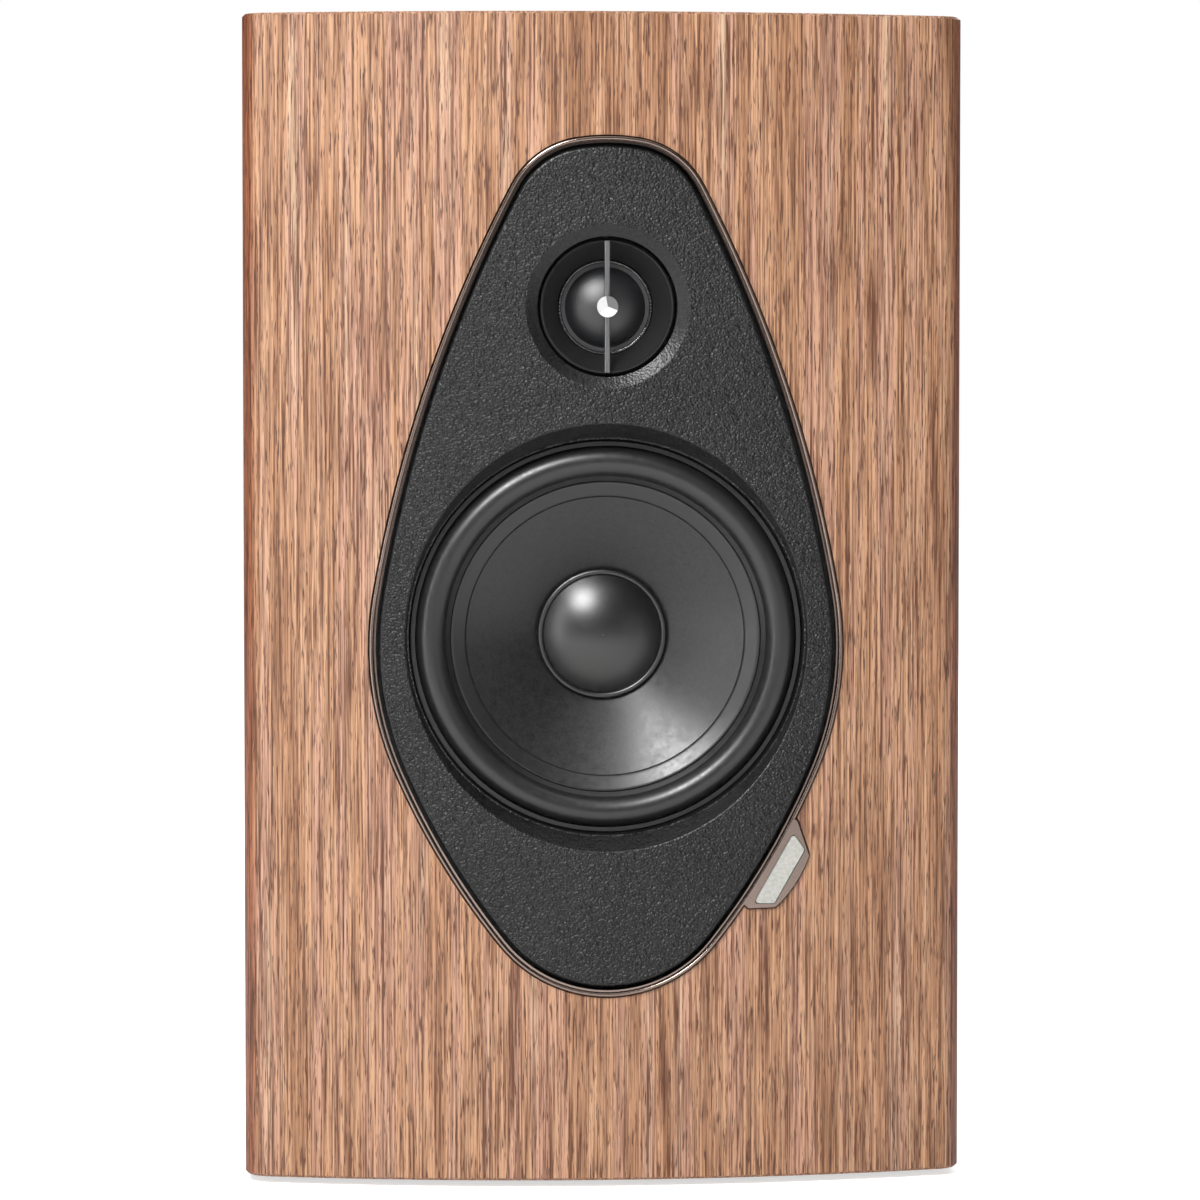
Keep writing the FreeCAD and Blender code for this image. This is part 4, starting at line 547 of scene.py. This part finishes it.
# %% [markdown]
# A driver's rubber surround, its cloth spider and the tweeter's small fabric roll all bend when the voice
# coil moves: their outer edge stays with the frame and their inner edge goes with the cone. A rigid piece
# can't do that, so each is made here as one mesh. A revolved outline is the natural way to make a roll,
# because its section is the same all the way round.

# %% Revolved pieces
WOOFER_AXIS = (Vector(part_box("woofer_cone")[0]) + Vector(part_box("woofer_cone")[1])) / 2
TWEETER_AXIS = (Vector(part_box("tweeter_dome")[0]) + Vector(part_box("tweeter_dome")[1])) / 2
TURN_STEPS = 160


def radii(piece, axis):
    """Each point's distance from a driver's axis."""
    points = np.array([v.co for v in piece.data.vertices])
    return np.hypot(points[:, 0] - axis.x, points[:, 2] - axis.z)


def new_piece(name, mesh, finish, smooth=True):
    """A visible object from a mesh, with one finish."""
    piece = bpy.data.objects.new(name, mesh)
    bpy.context.collection.objects.link(piece)
    mesh.materials.clear()
    mesh.materials.append(finish)
    mesh.polygons.foreach_set("use_smooth", [smooth] * len(mesh.polygons))
    return piece


def spun(name, outline, axis, finish):
    """A closed outline of (radius, y) points turned round a driver's axis."""
    build = bmesh.new()
    rings = []
    for step in range(TURN_STEPS):
        angle = 2 * math.pi * step / TURN_STEPS
        rings.append([build.verts.new((axis.x + r * math.cos(angle), y, axis.z + r * math.sin(angle)))
                      for r, y in outline])
    for ring, following in zip(rings, rings[1:] + rings[:1]):
        for i in range(len(outline)):
            j = (i + 1) % len(outline)
            build.faces.new((ring[i], ring[j], following[j], following[i]))
    bmesh.ops.recalc_face_normals(build, faces=build.faces)
    mesh = bpy.data.meshes.new(name)
    build.to_mesh(mesh)
    build.free()
    return new_piece(name, mesh, finish)


def half_roll(middle, half_width, foot_y, height, count=18):
    """Points of a roll from its outer foot over its crest to its inner foot. The front is towards -y."""
    turns = [math.pi * i / count for i in range(count + 1)]
    return [(middle + half_width * math.cos(t), foot_y - height * math.sin(t)) for t in turns]


def follow_coil(piece):
    """Bakes the placement of a ring between the frame and a coil into its mesh."""
    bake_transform(piece)


print("driver axes in mm above the floor:", round(WOOFER_AXIS.z / MM, 1), round(TWEETER_AXIS.z / MM, 1))

# %% [markdown]
# The woofer's surround is one half-round roll of butyl rubber between two flat feet, about 0.8 mm thick.
# The outer foot is clamped to the frame and the inner foot is glued over the cone's edge.

# %% Woofer surround
RUBBER = 0.8 * MM
SEAT_LAP, ROLL_GAP = 0.3 * MM, 1.8 * MM

low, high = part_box("woofer_surround")
seat_radius = (high.x - low.x) / 2
roll_outer = seat_radius + SEAT_LAP - ROLL_GAP
foot_inner = float(radii(NODES["woofer_surround"], WOOFER_AXIS).min())
foot_front = high.y - RUBBER
roll_height = foot_front - low.y
roll_middle = roll_outer - roll_height
surround_outline = [(seat_radius, high.y), (seat_radius, foot_front)]
surround_outline += half_roll(roll_middle, roll_height, foot_front, roll_height)
surround_outline += [(foot_inner, foot_front), (foot_inner, high.y)]
surround_outline += half_roll(roll_middle, roll_height - RUBBER, high.y, roll_height - RUBBER)[::-1]
rubber_surround = spun("rubber_surround", surround_outline, WOOFER_AXIS, soft_rubber)
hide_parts("woofer_surround")
follow_coil(rubber_surround)

# %% [markdown]
# The rubber doesn't stop at the cone's edge. A thin skin of it laps over the paper and is rolled down with
# glue, and its inner edge shows as a fine ring on the cone. It is thin and stiff with the paper, so it is
# a rigid piece on the cone. Rays cast at the cone give the depth of the paper under each of its points.

# %% Glue lap on the cone
LAP_INNER = 40.5 * MM
LAP_UNDER_FOOT = 0.05 * MM
LAP_THICKNESS = 0.22 * MM
LAP_THIN_EDGE = LAP_THICKNESS / 3
LAP_IN_PAPER = 0.1 * MM
LAP_STEPS = 9


def surface_of(node):
    """Finds a node's front surface by a ray: a function from (x, z) to y."""
    tree = BVHTree.FromObject(NODES[node], bpy.context.evaluated_depsgraph_get())
    return lambda x, z: tree.ray_cast(Vector((x, -1.0, z)), Vector((0, 1, 0)))[0].y


cone_front = surface_of("woofer_cone")
lap_radii = np.linspace(foot_inner - LAP_UNDER_FOOT, LAP_INNER, LAP_STEPS)
paper_depths = [cone_front(WOOFER_AXIS.x + r, WOOFER_AXIS.z) for r in lap_radii]
thicknesses = [LAP_THICKNESS] * (LAP_STEPS - 1) + [LAP_THIN_EDGE]
lap_outline = [(r, y - t) for r, y, t in zip(lap_radii, paper_depths, thicknesses)]
lap_outline += [(r, y + LAP_IN_PAPER) for r, y in zip(lap_radii[::-1], paper_depths[::-1])]
glue_lap = spun("surround_glue_lap", lap_outline, WOOFER_AXIS, soft_rubber)
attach(glue_lap, "woofer_moving")
print("lap depth from", round(paper_depths[0] / MM, 1), "to", round(paper_depths[-1] / MM, 1), "mm")

# %% [markdown]
# The tweeter's roll is the silk's own edge, about a millimetre wide and thick with varnish, which is why
# it glints. Outside the roll the silk lies flat, as a hem that the faceplate clamps.

# %% Tweeter roll
DAMPED_EDGE = 12.8 * MM
THROAT = 13.9 * MM
HEM = 0.5 * MM

low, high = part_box("tweeter_surround")
hem_radius = (high.x - low.x) / 2
hem_front = high.y - HEM
edge_middle, edge_half = (THROAT + DAMPED_EDGE) / 2, (THROAT - DAMPED_EDGE) / 2
edge_outline = [(hem_radius, high.y), (hem_radius, hem_front)]
edge_outline += half_roll(edge_middle, edge_half, hem_front, hem_front - low.y, 10)
edge_outline += [(DAMPED_EDGE, high.y)]
glossy_silk = woven("thickly_varnished_silk", "#141415", 0.5, 0.14, 0.05, IOR=2.0)
silk_edge = spun("silk_edge_roll", edge_outline, TWEETER_AXIS, glossy_silk)
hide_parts("tweeter_surround")
follow_coil(silk_edge)
print("silk roll", round((THROAT - DAMPED_EDGE) / MM, 1), "mm wide")

# %% [markdown]
# The spider is a disc of resin-dipped cotton, pressed into rings of waves, that keeps the coil centred. Its
# shape follows a rule, depth is a sine of the radius, so Geometry Nodes make it: a grid whose two
# directions become angle and radius. Changing the number of waves is then one number.

# %% Spider by rule
SPIDER_WAVES = 5
SPIDER_CLOTH = 0.6 * MM
SPIDER_GRID = (145, 61)  # points round the disc, and across it


def name_inputs(group, inputs):
    """Gives a node group a geometry output, its named number inputs and, from Group Input, their sockets."""
    group.interface.new_socket("Geometry", in_out="OUTPUT", socket_type="NodeSocketGeometry")
    for name, kind in inputs.items():
        group.interface.new_socket(name, in_out="INPUT", socket_type=kind)
    return add_node(group, "NodeGroupInput").outputs


def corrugated_disc():
    """A node group that bends a flat grid into a disc with rings of waves, y being its depth."""
    group = bpy.data.node_groups.new("corrugated_disc", "GeometryNodeTree")
    size = name_inputs(group, {
        "Inner Radius": "NodeSocketFloat", "Outer Radius": "NodeSocketFloat", "Depth": "NodeSocketFloat",
        "Height": "NodeSocketFloat", "Wave Height": "NodeSocketFloat", "Waves": "NodeSocketInt",
        "Cloth": "NodeSocketMaterial"})
    grid = add_node(group, "GeometryNodeMeshGrid", {
        "Size X": 1.0, "Size Y": 1.0, "Vertices X": SPIDER_GRID[0], "Vertices Y": SPIDER_GRID[1]})
    here = add_node(group, "ShaderNodeSeparateXYZ", {
        "Vector": add_node(group, "GeometryNodeInputPosition").outputs["Position"]})
    angle = add_node(group, "ShaderNodeMath", {0: here.outputs["X"], 1: 2 * math.pi}, operation="MULTIPLY")
    share = add_node(group, "ShaderNodeMath", {0: here.outputs["Y"], 1: 0.5}, operation="ADD")
    radius = add_node(group, "ShaderNodeMapRange", {
        "Value": share.outputs["Value"], "To Min": size["Inner Radius"], "To Max": size["Outer Radius"]})
    turns = add_node(group, "ShaderNodeMath", {0: size["Waves"], 1: 2 * math.pi}, operation="MULTIPLY")
    phase = add_node(group, "ShaderNodeMath", {
        0: share.outputs["Value"], 1: turns.outputs["Value"]}, operation="MULTIPLY")
    wave = add_node(group, "ShaderNodeMath", {0: phase.outputs["Value"]}, operation="SINE")
    depth = add_node(group, "ShaderNodeMath", {
        0: wave.outputs["Value"], 1: size["Wave Height"], 2: size["Depth"]}, operation="MULTIPLY_ADD")
    cosine = add_node(group, "ShaderNodeMath", {0: angle.outputs["Value"]}, operation="COSINE")
    sine = add_node(group, "ShaderNodeMath", {0: angle.outputs["Value"]}, operation="SINE")
    across = add_node(group, "ShaderNodeMath", {
        0: cosine.outputs["Value"], 1: radius.outputs["Result"]}, operation="MULTIPLY")
    up = add_node(group, "ShaderNodeMath", {
        0: sine.outputs["Value"], 1: radius.outputs["Result"], 2: size["Height"]},
        operation="MULTIPLY_ADD")
    place = add_node(group, "ShaderNodeCombineXYZ", {
        "X": across.outputs["Value"], "Y": depth.outputs["Value"], "Z": up.outputs["Value"]})
    shaped = add_node(group, "GeometryNodeSetPosition", {
        "Geometry": grid.outputs["Mesh"], "Position": place.outputs["Vector"]})
    closed = add_node(group, "GeometryNodeMergeByDistance", {"Geometry": shaped.outputs["Geometry"]})
    real = add_node(group, "GeometryNodeRealizeInstances", {"Geometry": closed.outputs["Geometry"]})
    painted = add_node(group, "GeometryNodeSetMaterial", {
        "Geometry": real.outputs["Geometry"], "Material": size["Cloth"]})
    add_node(group, "NodeGroupOutput", {"Geometry": painted.outputs["Geometry"]})
    return group


def grown(name, group, values, finish, wall=0.0):
    """Runs a node group with its inputs set by name, and returns the result as a plain piece."""
    carrier = bpy.data.objects.new(name + "_nodes", bpy.data.meshes.new(name + "_nodes"))
    bpy.context.collection.objects.link(carrier)
    nodes = carrier.modifiers.new("nodes", "NODES")
    nodes.node_group = group
    sockets = {s.name: s.identifier for s in group.interface.items_tree if s.in_out == "INPUT"}
    for label, value in values.items():
        nodes[sockets[label]] = value
    if wall:
        thick = carrier.modifiers.new("wall", "SOLIDIFY")
        thick.thickness = wall
        thick.offset = 0
    evaluated = carrier.evaluated_get(bpy.context.evaluated_depsgraph_get())
    mesh = bpy.data.meshes.new_from_object(evaluated)
    mesh.name = name
    bpy.data.objects.remove(carrier)
    build = bmesh.new()
    build.from_mesh(mesh)
    bmesh.ops.recalc_face_normals(build, faces=build.faces)
    build.to_mesh(mesh)
    build.free()
    return new_piece(name, mesh, finish, smooth=wall > 0)


low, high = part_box("woofer_spider")
spider_outer = (high.x - low.x) / 2
spider_inner = float(radii(NODES["woofer_spider"], WOOFER_AXIS).min())
cotton_spider = grown("cotton_spider", corrugated_disc(), {
    "Inner Radius": spider_inner, "Outer Radius": spider_outer, "Depth": (low.y + high.y) / 2,
    "Height": WOOFER_AXIS.z, "Wave Height": (high.y - low.y - SPIDER_CLOTH) / 2,
    "Waves": SPIDER_WAVES, "Cloth": resin_cotton}, resin_cotton, wall=SPIDER_CLOTH)
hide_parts("woofer_spider")
follow_coil(cotton_spider)
print("spider faces:", len(cotton_spider.data.polygons))

# %% [markdown]
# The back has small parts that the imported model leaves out, and each has a real size: eight spring contacts
# 1.02 mm apart in the network socket, ten a millimetre apart on the video socket's tongue, plated blades
# on the mains pins, a coloured ring in each phono socket and a shutter over the optical one. Contacts
# repeat, so one node group makes a row of them from a count and a pitch.

# %% Rows of contacts
def contact_row():
    """A node group that lays equal strips along x, a pitch apart."""
    group = bpy.data.node_groups.new("contact_row", "GeometryNodeTree")
    size = name_inputs(group, {
        "Count": "NodeSocketInt", "Pitch": "NodeSocketFloat", "First": "NodeSocketVector",
        "Contact": "NodeSocketVector", "Tilt": "NodeSocketVector", "Plating": "NodeSocketMaterial"})
    step = add_node(group, "ShaderNodeCombineXYZ", {"X": size["Pitch"]})
    line = add_node(group, "GeometryNodeMeshLine", {
        "Count": size["Count"], "Start Location": size["First"], "Offset": step.outputs["Vector"]})
    strip = add_node(group, "GeometryNodeMeshCube", {
        "Size": size["Contact"], "Vertices X": 3, "Vertices Y": 9, "Vertices Z": 2})
    row = add_node(group, "GeometryNodeInstanceOnPoints", {
        "Points": line.outputs["Mesh"], "Instance": strip.outputs["Mesh"], "Rotation": size["Tilt"]})
    real = add_node(group, "GeometryNodeRealizeInstances", {"Geometry": row.outputs["Instances"]})
    painted = add_node(group, "GeometryNodeSetMaterial", {
        "Geometry": real.outputs["Geometry"], "Material": size["Plating"]})
    add_node(group, "NodeGroupOutput", {"Geometry": painted.outputs["Geometry"]})
    return group


def middle_and_mouth(node):
    """The middle of a socket across and up, and the depth of its mouth."""
    low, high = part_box(node)
    return (low.x + high.x) / 2, (low.z + high.z) / 2, high.y


def row_of(name, socket, count, pitch_mm, contact_mm, depth_mm, rise_mm, tilt):
    """Centres a row of contacts in a socket, at a depth from its mouth and a rise from its middle."""
    across, up, mouth = middle_and_mouth(socket)
    piece = grown(name, rows, {
        "Count": count, "Pitch": pitch_mm * MM, "Tilt": (math.radians(tilt), 0.0, 0.0),
        "First": (across - (count - 1) / 2 * pitch_mm * MM, mouth - depth_mm * MM, up + rise_mm * MM),
        "Contact": tuple(s * MM for s in contact_mm), "Plating": gold_flash}, gold_flash)
    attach(piece, "root")
    return piece


rows = contact_row()
network_contacts = row_of("network_contacts", "network_socket", count=8, pitch_mm=1.02,
                          contact_mm=(0.45, 8.0, 0.3), depth_mm=7.5, rise_mm=2.4, tilt=20.0)
video_contacts = row_of("video_contacts", "video_socket", count=10, pitch_mm=1.0,
                        contact_mm=(0.5, 4.4, 0.12), depth_mm=7.6, rise_mm=0.64, tilt=0.0)
print("contacts:", len(network_contacts.data.polygons) + len(video_contacts.data.polygons), "faces")

# %% [markdown]
# The blades on the mains pins and the shutter in the optical socket are small blocks with every edge
# eased. One function makes such a block, because a sharp edge never catches the light and so never looks
# moulded. A phono socket's coloured ring is a narrow section turned round the socket, as the rolls were.

# %% Blades, shutter and rings
def eased_block(name, middle, half_sizes, ease, finish):
    """A block with rounded edges that rides on the cabinet. All lengths are in millimetres."""
    build = bmesh.new()
    bmesh.ops.create_cube(build, size=2.0)
    for corner in build.verts:
        corner.co = Vector([(m + s * c) * MM for m, s, c in zip(middle, half_sizes, corner.co)])
    bmesh.ops.bevel(build, geom=build.edges[:], offset=ease * MM, segments=3, profile=0.5, affect="EDGES")
    mesh = bpy.data.meshes.new(name)
    build.to_mesh(mesh)
    build.free()
    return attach(new_piece(name, mesh, finish), "root")


# All of these are in millimetres.
PIN_PLACES = [(-7.0, -1.5), (7.0, -1.5), (0.0, 2.5)]  # across and up from the inlet's middle
PIN_DEPTH = 118.2  # y of the blades' middle
BLADE_HALF_SIZES = (1.06, 5.0, 2.06)
SHUTTER_HALF_SIZES, SHUTTER_DEPTH = (3.4, 0.5, 3.4), 1.6
PHONO_FLANGE = 6.0
RING_SECTION = [(1.75, -0.4), (1.75, 0.12), (3.3, 0.12), (3.4, 0.02), (3.4, -0.4)]  # radius, rise
RING_COLOURS = {"left_input": "#d8d6cf", "right_input": "#a5221d", "sub_output": "#1d1d1f"}

across, up, mouth = (v / MM for v in middle_and_mouth("mains_inlet"))
for number, (dx, dz) in enumerate(PIN_PLACES):
    eased_block(f"pin_blade_{number + 1}", (across + dx, PIN_DEPTH, up + dz), BLADE_HALF_SIZES, 0.3,
                nickel)
across, up, mouth = (v / MM for v in middle_and_mouth("optical_socket"))
eased_block("optical_shutter", (across, mouth - SHUTTER_DEPTH, up), SHUTTER_HALF_SIZES, 0.25,
            moulded_black)

phono_low, phono_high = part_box("phono_sockets")
phono_up = (phono_low.z + phono_high.z) / 2
flange = PHONO_FLANGE * MM
ring_places = np.linspace(phono_low.x + flange, phono_high.x - flange, len(RING_COLOURS))
ring_outline = [(r * MM, phono_high.y + y * MM) for r, y in RING_SECTION]
for (name, colour), place in zip(RING_COLOURS.items(), ring_places):
    ring_finish = mottled(name + "_ring", colour, colour, 0.35, 0.8, 0.01)
    ring = spun(name + "_ring", ring_outline, Vector((place, 0.0, phono_up)), ring_finish)
    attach(ring, "root")
print("rings at x", [round(x / MM) for x in ring_places])
